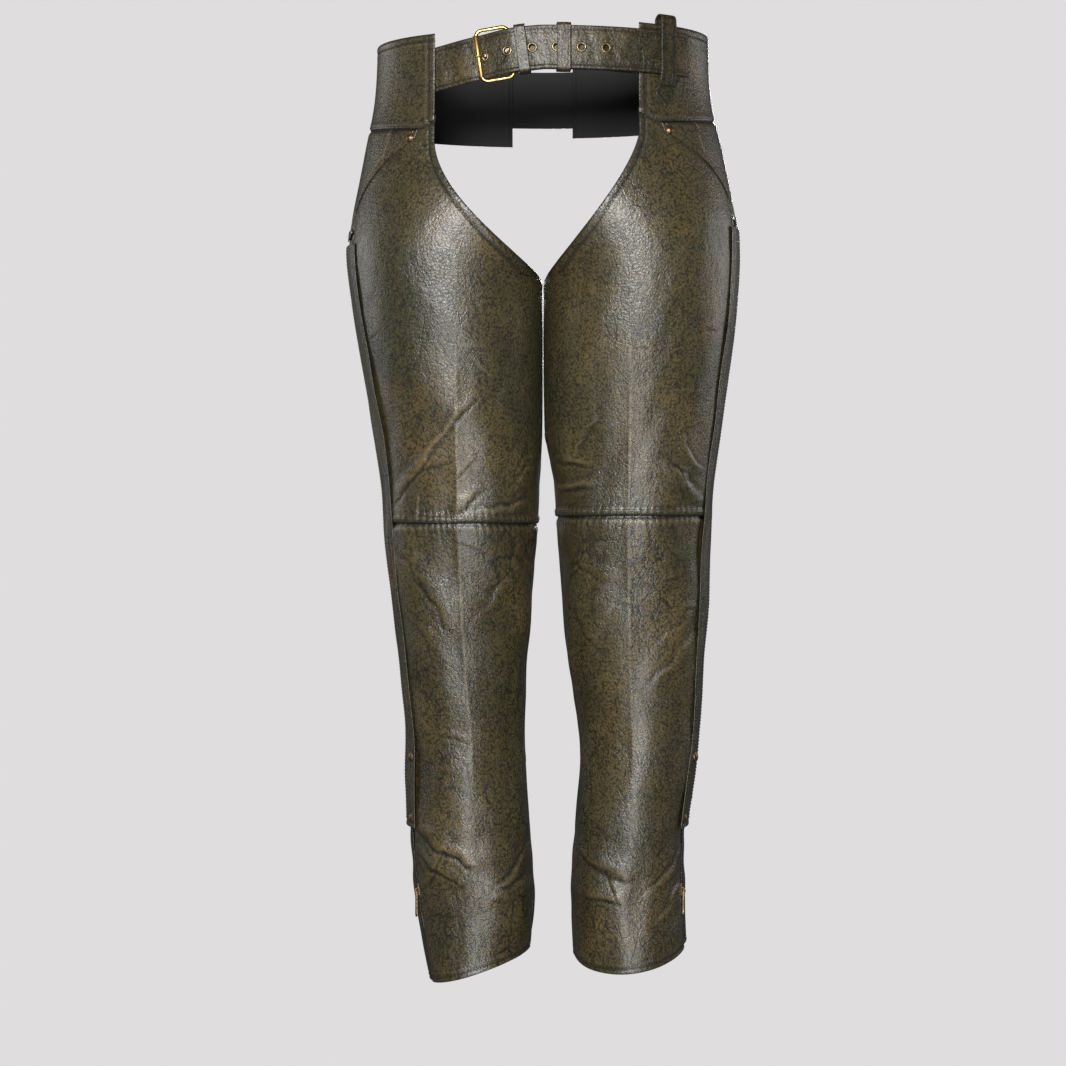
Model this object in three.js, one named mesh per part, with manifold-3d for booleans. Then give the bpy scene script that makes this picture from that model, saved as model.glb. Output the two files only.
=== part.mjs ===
// Leather riding chaps, buckled and zipped, as they hang on a wearer who is not there.
// Millimetres, +Z up, -Y in front, +X on the wearer's left. The origin is at the middle of the waist.
import * as THREE from "three";
import { mergeVertices } from "three/addons/utils/BufferGeometryUtils.js";
import Module from "manifold-3d";

const wasm = await Module();
wasm.setup();

// Driving dimensions
const leather = 1.6; // thickness of one layer of hide
const seamGap = 1; // space left between two panels that are sewn edge to edge
const crotchHeight = -260; // where the front and back openings end
const yokeFoot = -92; // where the back opening starts to curve in
const kneeGap = 2; // space between a thigh panel and the shin panel under it
const zipAngle = 16; // degrees forward of the outermost line of the leg
const zipEdge = 5; // from the middle of the zip to the edge of the panel beside it
const zipTeeth = { gap: 0.9, width: 2.2, depth: 2 }; // one row of teeth
const flapWidth = { back: 20, front: 18 }; // the strip over the zip, each side of its middle
const beltWidth = 46;
const strapDepth = 2.6; // a belt strap is two layers thick
const eyeletPitch = 25.4;
const buckle = { x: -50.5, width: 35, height: 54, wire: 2, corner: 7 };

// Each leg's outline: how far its outer and inner sides stand from the middle plane, half its
// depth, and how far its middle lies behind the hips, at a few heights.
const rightLeg = {
  name: "right",
  side: -1,
  top: -4,
  knee: -526,
  opening: { x: 115, from: -120, power: 1.8 },
  yoke: { side: -94, drop: 13 },
  pocket: { mouth: 46, front: -101, side: -207 },
  flapTop: -223,
  hem: { mid: -1010, outer: -17, front: 0 },
  rows: [
    { z: 20, outer: 180, inner: -180, depth: 109, back: 0 },
    { z: -60, outer: 184, inner: -183, depth: 111, back: 0 },
    { z: -120, outer: 195, inner: -150, depth: 117, back: 0 },
    { z: -190, outer: 208, inner: -55, depth: 121, back: 0 },
    { z: -225, outer: 212, inner: -18, depth: 120, back: 0 },
    { z: -262, outer: 209, inner: 1.5, depth: 117, back: 0 },
    { z: -320, outer: 201, inner: 1.5, depth: 110, back: 0 },
    { z: -400, outer: 187, inner: 2, depth: 99, back: 2 },
    { z: -480, outer: 174, inner: 5, depth: 89, back: 4 },
    { z: -530, outer: 170, inner: 8, depth: 85, back: 5 },
    { z: -620, outer: 162, inner: 14, depth: 78, back: 10 },
    { z: -750, outer: 149, inner: 21, depth: 74, back: 16 },
    { z: -860, outer: 147, inner: 15, depth: 77, back: 15 },
    { z: -940, outer: 138, inner: 11, depth: 79, back: 12 },
    { z: -1035, outer: 122, inner: 24, depth: 77, back: 8 },
  ],
};
const leftLeg = {
  name: "left",
  side: 1,
  top: 7,
  knee: -518,
  opening: { x: 101, from: -110, power: 1.45 },
  yoke: { side: -84, drop: 15 },
  pocket: { mouth: 49, front: -99, side: -192 },
  flapTop: -204,
  hem: { mid: -990, outer: 8, front: -18 },
  rows: [
    { z: 20, outer: 180, inner: -180, depth: 109, back: 0 },
    { z: -60, outer: 184, inner: -183, depth: 111, back: 0 },
    { z: -120, outer: 197, inner: -150, depth: 117, back: 0 },
    { z: -190, outer: 210, inner: -55, depth: 121, back: 0 },
    { z: -225, outer: 212, inner: -18, depth: 120, back: 0 },
    { z: -262, outer: 211, inner: 1.5, depth: 117, back: 0 },
    { z: -320, outer: 206, inner: 1.5, depth: 110, back: 0 },
    { z: -400, outer: 195, inner: 4, depth: 99, back: 2 },
    { z: -480, outer: 185, inner: 12, depth: 89, back: 4 },
    { z: -530, outer: 182, inner: 15, depth: 85, back: 5 },
    { z: -620, outer: 177, inner: 23, depth: 78, back: 10 },
    { z: -750, outer: 170, inner: 41, depth: 74, back: 16 },
    { z: -860, outer: 157, inner: 36, depth: 77, back: 15 },
    { z: -930, outer: 155, inner: 32, depth: 78, back: 12 },
    { z: -1035, outer: 160, inner: 38, depth: 80, back: 8 },
  ],
};

const oliveLeather = () => new THREE.MeshStandardMaterial({ color: 0x4e4736, roughness: 0.42 });
const blackLining = () => new THREE.MeshStandardMaterial({ color: 0x0d0d0e, roughness: 0.7 });
const blackTape = () => new THREE.MeshStandardMaterial({ color: 0x141416, roughness: 0.8 });
const agedBrass = () => new THREE.MeshStandardMaterial({ color: 0x9c7a3c, roughness: 0.35, metalness: 1 });
const copperCap = () => new THREE.MeshStandardMaterial({ color: 0x8c5a32, roughness: 0.35, metalness: 1 });

const chaps = new THREE.Group();

const mix = (a, b, t) => a + (b - a) * t;
const radians = THREE.MathUtils.degToRad;

// Puts a finished shape into a group under its name.
function add(name, geometry, material, group = chaps) {
  const mesh = new THREE.Mesh(geometry, material);
  mesh.name = name;
  group.add(mesh);
  return mesh;
}

// A value from an outline's rows at height z: a smooth curve through every row.
function outline(rows, key, z) {
  let i = 1;
  while (i < rows.length - 1 && z < rows[i].z) i += 1;
  const [a, b] = [rows[i - 1], rows[i]];
  const slope = (j) => {
    const [above, below] = [rows[Math.max(j - 1, 0)], rows[Math.min(j + 1, rows.length - 1)]];
    return (below[key] - above[key]) / (below.z - above.z);
  };
  const span = b.z - a.z;
  const t = THREE.MathUtils.clamp((z - a.z) / span, -0.5, 1.5);
  const bend = t * (1 - t) * span;
  const line = mix(a[key], b[key], t * t * (3 - 2 * t));
  return line + bend * ((1 - t) * slope(i - 1) - t * slope(i));
}

// The middle, half width, half depth and set-back of a leg at height z.
function section(leg, z) {
  const outer = outline(leg.rows, "outer", z);
  const inner = outline(leg.rows, "inner", z);
  return {
    middle: (outer + inner) / 2,
    half: (outer - inner) / 2,
    depth: outline(leg.rows, "depth", z),
    back: outline(leg.rows, "back", z),
  };
}

// A point on a leg: angle 0 is outermost, 90 in front, 180 innermost and -90 behind. out is how
// far the point stands off the middle of the leather, square to the leg's oval.
function onLeg(leg, angle, z, out = 0) {
  const { middle, half, depth, back } = section(leg, z);
  const [c, s] = [Math.cos(radians(angle)), Math.sin(radians(angle))];
  const length = Math.hypot(c / half, s / depth);
  const x = middle + half * c + (out * c) / half / length;
  const y = back - depth * s - (out * s) / depth / length;
  return new THREE.Vector3(leg.side * x, y, z);
}

// How many degrees a distance along the leather turns at height z.
const turn = (leg, distance, z) => THREE.MathUtils.radToDeg(distance / section(leg, z).half);

// The angle where a leg reaches x millimetres from the middle plane, on its front.
function angleAt(leg, x, z) {
  const { middle, half } = section(leg, z);
  return THREE.MathUtils.radToDeg(Math.acos(THREE.MathUtils.clamp((x - middle) / half, -1, 1)));
}

// The front opening: straight down from the waist, then a curve in to the crotch.
function frontEdge(leg, z) {
  const { x, from, power } = leg.opening;
  if (z <= crotchHeight) return 180 - turn(leg, seamGap / 2, z);
  const down = THREE.MathUtils.clamp((z - from) / (crotchHeight - from), 0, 1);
  return angleAt(leg, x * (1 - down ** power), z) - turn(leg, seamGap / 2, z);
}

// The back opening: a wider curve round the seat.
function backEdge(leg, z) {
  const seat = { x: 132, from: yokeFoot, power: 2.2 };
  if (z <= crotchHeight) return -180 + turn(leg, seamGap / 2, z);
  const down = THREE.MathUtils.clamp((z - seat.from) / (crotchHeight - seat.from), 0, 1);
  return turn(leg, seamGap / 2, z) - angleAt(leg, seat.x * (1 - down ** seat.power), z);
}

const zipSide = (leg, z, distance) => zipAngle + turn(leg, distance, z);
const sideSeam = -28;

// The slanted pocket mouth, from the front opening round to the top of the zip.
const pocketSpan = { from: zipAngle - 2, to: 52 };
function pocketLine(leg, angle) {
  const { from, to } = pocketSpan;
  const part = THREE.MathUtils.clamp((angle - from) / (to - from), 0, 1.3);
  return mix(leg.pocket.side, leg.pocket.front, part ** 0.55);
}

// The seam under the hip yoke, which drops a little towards the front and ends at the pocket.
function yokeLine(leg, angle) {
  const seam = leg.yoke.side - leg.yoke.drop * Math.max(0, angle / pocketSpan.to);
  return angle > leg.pocket.mouth ? Math.max(seam, pocketLine(leg, angle)) : seam;
}

// The lower edge of a leg.
function hemLine(leg, angle) {
  const { mid, outer, front } = leg.hem;
  return mid + outer * Math.cos(radians(angle)) + front * Math.sin(radians(angle));
}

// Closes a stack of equal rings into one solid. The cap lists the triangles of a ring's face.
function loft(rings, cap) {
  const count = rings[0].length;
  const index = [];
  for (let j = 0; j < rings.length - 1; j += 1) {
    for (let i = 0; i < count; i += 1) {
      const [a, b] = [j * count + i, j * count + ((i + 1) % count)];
      index.push(a, b, b + count, a, b + count, a + count);
    }
  }
  const last = (rings.length - 1) * count;
  for (const [a, b, c] of cap) {
    index.push(a, c, b, last + a, last + b, last + c);
  }
  return facingOut(rings.flat(), index);
}

// The triangles of a flat outline, turning the same way as the outline does.
function faceOf(outline) {
  const flat = outline.map(([across, out]) => new THREE.Vector2(across, out));
  const triangles = THREE.ShapeUtils.triangulateShape(flat, []);
  return THREE.ShapeUtils.isClockWise(flat) ? triangles.map((t) => t.toReversed()) : triangles;
}

// Makes a geometry whose faces point outwards, whichever way its triangles ran.
function facingOut(points, index) {
  let volume = 0;
  for (let i = 0; i < index.length; i += 3) {
    const [a, b, c] = [points[index[i]], points[index[i + 1]], points[index[i + 2]]];
    volume += a.dot(new THREE.Vector3().crossVectors(b, c));
  }
  if (volume < 0) index.reverse();
  const geometry = new THREE.BufferGeometry().setFromPoints(points);
  geometry.setIndex(index);
  geometry.computeVertexNormals();
  return geometry;
}

// One panel of hide. It fills the leg's surface between two angles, which may change with height,
// and between a lower and an upper edge, which may change with angle. A crowd above 1 sets its
// rows closer together towards the top.
function panel(leg, { from, to, bottom, top, across, down, out = 0, depth = leather, crowd = 1 }) {
  const settle = (u, edge, start) => {
    let z = start;
    for (let i = 0; i < 20; i += 1) z = mix(z, edge(mix(from(z), to(z), u)), 0.7);
    return z;
  };
  const rings = [];
  for (let i = 0; i <= across; i += 1) {
    const u = i / across;
    const low = settle(u, bottom, -300);
    const high = settle(u, top, -150);
    const ring = [];
    for (let j = 0; j <= down; j += 1) {
      const z = mix(high, low, (1 - j / down) ** crowd);
      ring.push([mix(from(z), to(z), u), z]);
    }
    rings.push([
      ...ring.map(([angle, z]) => onLeg(leg, angle, z, out + depth / 2)),
      ...ring.reverse().map(([angle, z]) => onLeg(leg, angle, z, out - depth / 2)),
    ]);
  }
  const cap = [];
  for (let j = 0; j < down; j += 1) {
    const [a, b] = [j, 2 * down + 1 - j];
    cap.push([a, a + 1, b - 1], [a, b - 1, b]);
  }
  return loft(rings, cap);
}

// A strip that follows the zip down a leg. Its profile is given across and outwards.
function zipStrip(leg, profile, high, low, steps) {
  const rings = [];
  for (let j = 0; j <= steps; j += 1) {
    const z = mix(high, low, (j / steps) ** 1.2);
    rings.push(profile.map(([w, out]) => onLeg(leg, zipSide(leg, z, w), z, out)));
  }
  return loft(rings, faceOf(profile));
}

// Manifold solids, for cutting and joining.
function solid(geometry, matrix = new THREE.Matrix4()) {
  let plain = geometry.clone().applyMatrix4(matrix);
  plain.deleteAttribute("normal");
  plain.deleteAttribute("uv");
  plain = mergeVertices(plain, 1e-4);
  return new wasm.Manifold(
    new wasm.Mesh({
      numProp: 3,
      vertProperties: new Float32Array(plain.attributes.position.array),
      triVerts: new Uint32Array(plain.index.array),
    }),
  );
}

function fromSolid(shape) {
  const mesh = shape.getMesh();
  const geometry = new THREE.BufferGeometry();
  geometry.setAttribute("position", new THREE.BufferAttribute(mesh.vertProperties, 3));
  geometry.setIndex(new THREE.BufferAttribute(mesh.triVerts, 1));
  geometry.computeVertexNormals();
  return geometry;
}

const moved = (x, y, z) => new THREE.Matrix4().makeTranslation(x, y, z);

// A group whose X runs across, -Y stands outwards and Z runs up, at a point on the leather.
function place(point, outward, up = new THREE.Vector3(0, 0, 1)) {
  const group = new THREE.Group();
  const along = up.clone().normalize();
  const across = new THREE.Vector3().crossVectors(along, outward).normalize();
  const back = new THREE.Vector3().crossVectors(along, across);
  group.applyMatrix4(new THREE.Matrix4().makeBasis(across, back, along).setPosition(point));
  chaps.add(group);
  return group;
}

// A domed cap: the head of a rivet or a snap, standing on -Y.
function cap(radius, height) {
  const rim = height * 0.35;
  const profile = [new THREE.Vector2(0, 0), new THREE.Vector2(radius, 0), new THREE.Vector2(radius, rim)];
  for (const share of [0.6, 0]) {
    const rise = rim + (height - rim) * Math.sqrt(1 - share ** 2);
    profile.push(new THREE.Vector2(radius * share, rise));
  }
  return new THREE.LatheGeometry(profile, 10).rotateX(Math.PI);
}

// Places a cap on a leg at an angle and a height, standing off the leather by out.
function capOnLeg(leg, name, angle, z, out, size, material) {
  const foot = onLeg(leg, angle, z, out);
  const outward = onLeg(leg, angle, z, out + 1).sub(foot);
  add(name, cap(size.radius, size.height), material, place(foot, outward));
}

// The hip yokes, the side panel under them and the pocket.
const rivetSize = { radius: 4.6, height: 2.8 };

function hipPanels(leg) {
  const top = () => leg.top;
  add(
    `${leg.name}_hip_yoke`,
    panel(leg, {
      from: (z) => sideSeam + turn(leg, seamGap / 2, z),
      to: (z) => frontEdge(leg, z),
      bottom: (angle) => yokeLine(leg, angle) + seamGap / 2,
      top,
      across: 10,
      down: 3,
    }),
    oliveLeather(),
  );
  add(
    `${leg.name}_back_yoke`,
    panel(leg, {
      from: (z) => turn(leg, seamGap / 2, z) - angleAt(leg, 34, z),
      to: (z) => sideSeam - turn(leg, seamGap / 2, z),
      bottom: () => yokeLine(leg, 0) + seamGap / 2,
      top,
      across: 8,
      down: 3,
    }),
    oliveLeather(),
  );
  add(
    `${leg.name}_side_panel`,
    panel(leg, {
      from: (z) => backEdge(leg, z),
      to: () => leg.pocket.mouth,
      bottom: (angle) => pocketLine(leg, angle) + 2 * seamGap,
      top: (angle) => yokeLine(leg, angle) - seamGap / 2,
      across: 12,
      down: 3,
    }),
    oliveLeather(),
  );
  add(
    `${leg.name}_pocket_welt`,
    panel(leg, {
      from: () => 3,
      to: () => leg.pocket.mouth + 3,
      bottom: (angle) => pocketLine(leg, angle) - 9,
      top: (angle) => pocketLine(leg, angle) - 1,
      across: 9,
      down: 1,
      out: 2,
      depth: 1.2,
    }),
    oliveLeather(),
  );
  add(
    `${leg.name}_pocket_bag`,
    panel(leg, {
      from: () => zipAngle + 13,
      to: () => leg.pocket.mouth,
      bottom: () => -262,
      top: (angle) => pocketLine(leg, angle) - 4,
      across: 6,
      down: 3,
      out: -3,
      depth: 1.4,
    }),
    blackLining(),
  );
  const rivetHeight = pocketLine(leg, leg.pocket.mouth) - 5;
  capOnLeg(leg, `${leg.name}_pocket_rivet`, leg.pocket.mouth, rivetHeight, 3.6, rivetSize, copperCap());
}

const liningEdge = 105; // degrees: how far round towards the inner side the lining reaches

// The four large panels of a leg and the lining of the thigh.
function legPanels(leg) {
  const fromZip = (z) => zipSide(leg, z, zipEdge);
  const toZip = (z) => zipSide(leg, z, -zipEdge);
  const kneeTop = leg.knee + kneeGap / 2;
  const kneeFoot = leg.knee - kneeGap / 2;
  add(
    `${leg.name}_front_thigh`,
    panel(leg, {
      from: fromZip,
      to: (z) => frontEdge(leg, z),
      bottom: () => kneeTop,
      top: (angle) => pocketLine(leg, angle) - 1.5 * seamGap,
      across: 13,
      down: 12,
      crowd: 1.6,
    }),
    oliveLeather(),
  );
  add(
    `${leg.name}_back_thigh`,
    panel(leg, {
      from: (z) => backEdge(leg, z),
      to: toZip,
      bottom: () => kneeTop,
      top: (angle) => pocketLine(leg, angle) - seamGap / 2,
      across: 13,
      down: 8,
      crowd: 1.6,
    }),
    oliveLeather(),
  );
  add(
    `${leg.name}_front_shin`,
    panel(leg, {
      from: fromZip,
      to: (z) => frontEdge(leg, z),
      bottom: (angle) => hemLine(leg, angle),
      top: () => kneeFoot,
      across: 12,
      down: 9,
    }),
    oliveLeather(),
  );
  add(
    `${leg.name}_back_shin`,
    panel(leg, {
      from: (z) => backEdge(leg, z),
      to: toZip,
      bottom: (angle) => hemLine(leg, angle),
      top: () => kneeFoot,
      across: 12,
      down: 9,
    }),
    oliveLeather(),
  );
  add(
    `${leg.name}_thigh_lining`,
    panel(leg, {
      from: (z) => zipSide(leg, z, 18),
      to: (z) => Math.min(frontEdge(leg, z) - turn(leg, 14, z), liningEdge),
      bottom: () => kneeTop + 14,
      top: (angle) => pocketLine(leg, angle) - 10,
      across: 9,
      down: 8,
      crowd: 1.5,
      out: -7,
      depth: 0.6,
    }),
    blackLining(),
  );
}

// The zip: two halves of tape with a row of teeth each, the flap over it, and its snaps.
const zipFoot = -948;
const zipSteps = 18;
const sliderHeight = -926;
const flapFoot = -858;
const snapSize = { radius: 6, height: 3.2 };
const toothLevel = -2.8; // middle of the teeth, in from the middle of the leather

function zip(leg) {
  const { gap, width, depth } = zipTeeth;
  const half = (sign) => {
    const inner = gap * sign;
    const outer = (gap + width) * sign;
    const tape = 17 * sign;
    const low = toothLevel - depth / 2;
    const high = toothLevel + depth / 2;
    return [
      [inner, low],
      [outer, low],
      [outer, toothLevel - 0.9],
      [tape, toothLevel - 0.9],
      [tape, toothLevel - 0.4],
      [outer, toothLevel - 0.4],
      [outer, high],
      [inner, high],
    ];
  };
  const top = leg.flapTop - 6;
  add(`${leg.name}_zip_front_half`, zipStrip(leg, half(1), top, zipFoot, zipSteps), blackTape());
  add(`${leg.name}_zip_back_half`, zipStrip(leg, half(-1), top, zipFoot, zipSteps), blackTape());
  const { back, front } = flapWidth;
  const flapOut = 2.8;
  const [low, high] = [flapOut - leather / 2, flapOut + leather / 2];
  const middles = [-back, -back / 2, 0, front / 2, front];
  const flap = [...middles.map((w) => [w, low]), ...middles.reverse().map((w) => [w, high])];
  add(`${leg.name}_zip_flap`, zipStrip(leg, flap, leg.flapTop, flapFoot, zipSteps), oliveLeather());
  const flapFace = high + 0.9;
  for (const [name, z] of [["upper", -781], ["lower", -848]]) {
    const angle = zipSide(leg, z, 8);
    capOnLeg(leg, `${leg.name}_${name}_snap`, angle, z, flapFace, snapSize, agedBrass());
  }
  zipSlider(leg);
}

// The slider holds both rows of teeth between two plates, joined by a blade between the rows.
const slider = { width: 9.4, height: 13, plate: 1.1, room: 3.4, blade: 1, bail: 3.4 };

function zipSlider(leg) {
  const foot = onLeg(leg, zipSide(leg, sliderHeight, 0), sliderHeight, toothLevel);
  const above = onLeg(leg, zipSide(leg, sliderHeight + 30, 0), sliderHeight + 30, toothLevel);
  const below = onLeg(leg, zipSide(leg, sliderHeight - 10, 0), sliderHeight - 10, toothLevel);
  const outward = onLeg(leg, zipSide(leg, sliderHeight, 0), sliderHeight, toothLevel + 1).sub(foot);
  const group = place(foot, outward, above.sub(below).normalize());
  const { width, height, plate, room, blade, bail } = slider;
  const plateBox = new THREE.BoxGeometry(width, plate, height);
  const front = solid(plateBox, moved(0, -(room + plate) / 2, 0));
  const back = solid(plateBox, moved(0, (room + plate) / 2, 0));
  const post = solid(new THREE.BoxGeometry(blade, room + plate, height / 3), moved(0, 0, -height / 3));
  const bailTop = -(room / 2 + plate);
  const ring = new THREE.TorusGeometry(bail, 0.7, 6, 14).rotateY(Math.PI / 2);
  const bailRing = solid(ring, moved(0, bailTop, -height / 6));
  const body = front.add(back).add(post).add(bailRing.subtract(post));
  const inside = solid(new THREE.BoxGeometry(width + 2, room, height + 2));
  const kept = body.subtract(inside).add(post);
  add(`${leg.name}_zip_slider`, fromSolid(kept), agedBrass(), group);

  group.updateMatrixWorld();
  const hinge = new THREE.Vector3(0, bailTop - bail + 1.6, -height / 6).applyMatrix4(group.matrixWorld);
  const outline = new THREE.Shape();
  outline.moveTo(-3, 0.7);
  outline.lineTo(3, 0.7);
  outline.lineTo(3.4, -21);
  outline.absarc(0, -24, 4, 0.2, Math.PI - 0.2, true);
  outline.lineTo(-3.4, -21);
  outline.closePath();
  const slot = new THREE.Path();
  slot.moveTo(-1.6, -0.7);
  slot.lineTo(-1.6, -6);
  slot.lineTo(1.6, -6);
  slot.lineTo(1.6, -0.7);
  slot.closePath();
  outline.holes.push(slot);
  const tab = new THREE.ExtrudeGeometry(outline, { depth: 1.2, bevelEnabled: false, curveSegments: 6 });
  tab.rotateX(Math.PI / 2).translate(0, 0.6, 0);
  add(`${leg.name}_zip_pull`, tab, agedBrass(), place(hinge, outward.setZ(0)));
}

// The belt runs round the waist's oval. x is across, out is off the oval, level is its height.
// It drops towards the wearer's right, and its edges stay square to its slope.
const beltDrop = { level: -24, depth: 17, reach: 112, power: 1.2 };
const beltLevel = (x) => beltDrop.level - beltDrop.depth * Math.max(0, -x / beltDrop.reach) ** beltDrop.power;

function beltSlope(x) {
  const { depth, reach, power } = beltDrop;
  return ((depth * power) / reach) * Math.max(0, -x / reach) ** (power - 1);
}

function onBelt(x, out, rise = 0) {
  const { level } = beltDrop;
  const leaning = x - rise * beltSlope(x);
  return onLeg(leftLeg, angleAt(leftLeg, leaning, level), level, out).setZ(beltLevel(x) + rise);
}

// Smooth steps between levels that are reached at given places along the belt.
function levels(stops) {
  return (x) => {
    let i = 1;
    while (i < stops.length - 1 && x > stops[i][0]) i += 1;
    const [[x0, y0], [x1, y1]] = [stops[i - 1], stops[i]];
    const t = THREE.MathUtils.smoothstep(x, x0, x1);
    return mix(y0, y1, t);
  };
}

// A strap along the belt, of a width and a thickness, at a distance off the oval. Its ends may taper.
function strap(start, end, steps, standOff, { width = beltWidth, tip = 0 } = {}) {
  const rings = [];
  for (let i = 0; i <= steps; i += 1) {
    const x = mix(start, end, i / steps);
    const left = end - x;
    const half = tip && left < tip ? (width / 2) * Math.sqrt(1 - (1 - left / tip) ** 2 * 0.9) : width / 2;
    const [near, far] = [standOff(x) - strapDepth / 2, standOff(x) + strapDepth / 2];
    rings.push([onBelt(x, near, -half), onBelt(x, far, -half), onBelt(x, far, half), onBelt(x, near, half)]);
  }
  return loft(rings, [[0, 1, 2], [0, 2, 3]]);
}

const tongueOff = levels([[-140, -4.8], [-108, -4.8], [-70, -1.6], [-28, 8.6], [0, 6], [160, 6]]);
const underOff = levels([[-30, 1.4], [60, 1.4], [96, -4.8], [120, -4.8]]);
const eyelet = { flange: 5.6, barrel: 3.8, hole: 3.1, proud: 0.8, back: 0.4 };

// A place on a strap, square to it and leaning with its slope.
function onStrap(x, standOff) {
  const [here, ahead, before] = [x, x + 1, x - 1].map((at) => onBelt(at, standOff(at)));
  const along = ahead.sub(before).normalize();
  const outward = new THREE.Vector3().crossVectors(along, new THREE.Vector3(0, 0, 1)).normalize();
  return place(here, outward, new THREE.Vector3().crossVectors(outward, along));
}

function belt() {
  let tongue = solid(strap(-136, 150, 40, tongueOff, { tip: 16 }));
  const punch = new THREE.CylinderGeometry(eyelet.barrel + 0.5, eyelet.barrel + 0.5, 12, 12);
  const half = strapDepth / 2 + 0.6;
  const ring = [
    [eyelet.hole, -half - eyelet.proud],
    [eyelet.flange, -half],
    [eyelet.barrel, -half],
    [eyelet.barrel, half],
    [eyelet.flange, half],
    [eyelet.flange, half + eyelet.back],
    [eyelet.hole, half + eyelet.back],
    [eyelet.hole, -half - eyelet.proud],
  ].map(([r, y]) => new THREE.Vector2(r, y));
  for (let i = 0; i < 6; i += 1) {
    const group = onStrap(-62.5 + eyeletPitch * i, tongueOff);
    group.updateMatrixWorld();
    tongue = tongue.subtract(solid(punch, group.matrixWorld));
    add(`belt_eyelet_${i + 1}`, new THREE.LatheGeometry(ring, 12), agedBrass(), group);
  }
  add("belt_tongue", fromSolid(tongue), oliveLeather());
}

// The buckle: a wire frame with a roller on one bar and the prong on the other, the heel bar.
// Its group lies in the plane of the two bars.
const heel = { x: buckle.x + buckle.width / 2, out: 1.7 };
const rollerBar = { x: buckle.x - buckle.width / 2, out: 4.7 };
const roller = { inner: 2.4, outer: 3.4, length: 44 };

function buckleGroup() {
  const [heelPoint, rollerPoint] = [heel, rollerBar].map(({ x, out }) => onBelt(x, out));
  const across = heelPoint.clone().sub(rollerPoint).normalize();
  const outward = new THREE.Vector3().crossVectors(across, new THREE.Vector3(0, 0, 1)).normalize();
  const up = new THREE.Vector3().crossVectors(outward, across);
  return place(heelPoint.add(rollerPoint).multiplyScalar(0.5), outward, up);
}

function roundedLoop(width, height, corner) {
  const [x, z] = [width / 2, height / 2];
  const path = new THREE.CurvePath();
  const at = (px, pz) => new THREE.Vector3(px, 0, pz);
  const corners = [[x, z], [-x, z], [-x, -z], [x, -z]];
  corners.forEach(([cx, cz], i) => {
    const [nx, nz] = corners[(i + 1) % 4];
    const [px, pz] = corners[(i + 3) % 4];
    const towards = (ax, az) => at(cx + Math.sign(ax - cx) * corner, cz + Math.sign(az - cz) * corner);
    path.add(new THREE.QuadraticBezierCurve3(towards(px, pz), at(cx, cz), towards(nx, nz)));
    const next = at(nx + Math.sign(cx - nx) * corner, nz + Math.sign(cz - nz) * corner);
    path.add(new THREE.LineCurve3(towards(nx, nz), next));
  });
  return path;
}

function buckleSet() {
  const group = buckleGroup();
  const { width, height, wire, corner } = buckle;
  const loop = roundedLoop(width, height, corner);
  const frame = new THREE.TubeGeometry(loop, 40, wire, 8, true);
  add("buckle_frame", frame, agedBrass(), group);

  const tube = [
    [roller.inner, -roller.length / 2],
    [roller.outer, -roller.length / 2],
    [roller.outer, roller.length / 2],
    [roller.inner, roller.length / 2],
    [roller.inner, -roller.length / 2],
  ].map(([r, y]) => new THREE.Vector2(r, y));
  const rollerTube = new THREE.LatheGeometry(tube, 14).rotateX(Math.PI / 2).translate(-width / 2, 0, 0);
  add("buckle_roller", rollerTube, agedBrass(), group);

  const bar = width / 2;
  const route = [
    [bar - 3.2, 0.8],
    [bar - 6, 4],
    [4, 9.6],
    [-5, 11.4],
    [-10, 11],
    [-11.9, 8.4],
    [-12.2, 4.8],
    [-12.3, 0],
    [-14, -4.1],
    [-17.5, -5.4],
    [-22, -4.8],
  ].map(([x, y]) => new THREE.Vector3(x, y, 0));
  const section = new THREE.Shape().absarc(0, 0, 1.3, 0, 2 * Math.PI);
  const curve = new THREE.CatmullRomCurve3(route, false, "centripetal");
  const pin = new THREE.ExtrudeGeometry(section, { steps: 20, curveSegments: 6, extrudePath: curve });
  const eye = new THREE.TorusGeometry(3.2, 0.8, 6, 14).translate(bar, 0, 0);
  const bore = new THREE.CylinderGeometry(2.4, 2.4, 6, 14).rotateX(Math.PI / 2).translate(bar, 0, 0);
  const prong = solid(pin).add(solid(eye)).subtract(solid(bore));
  add("buckle_prong", fromSolid(prong), agedBrass(), group);
  return group;
}

// The strap that holds the buckle: it folds round the heel bar, with a slot for the prong.
function buckleStrap(group) {
  const run = strap(heel.x + 7, 116, 20, underOff);
  group.updateMatrixWorld();
  const fold = { inner: 2.4, outer: 4.3 };
  const outline2d = new THREE.Shape().absarc(0, 0, fold.outer, radians(60), radians(300), false);
  outline2d.lineTo(9.5, -3.4);
  outline2d.lineTo(9.5, 1.6);
  outline2d.closePath();
  const hole = new THREE.Path().absarc(0, 0, fold.inner, 0, 2 * Math.PI, true);
  outline2d.holes.push(hole);
  const depth = beltWidth - 6;
  const wrap = new THREE.ExtrudeGeometry(outline2d, { depth, bevelEnabled: false, curveSegments: 8 });
  wrap.translate(buckle.width / 2, 0, -depth / 2);
  const slot = new THREE.BoxGeometry(16, 14, 13);
  const slotPlace = group.matrixWorld.clone().multiply(moved(buckle.width / 2 - 1, 0, 0));
  const joined = solid(run).add(solid(wrap, group.matrixWorld)).subtract(solid(slot, slotPlace));
  add("buckle_strap", fromSolid(joined), oliveLeather());
}

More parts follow.
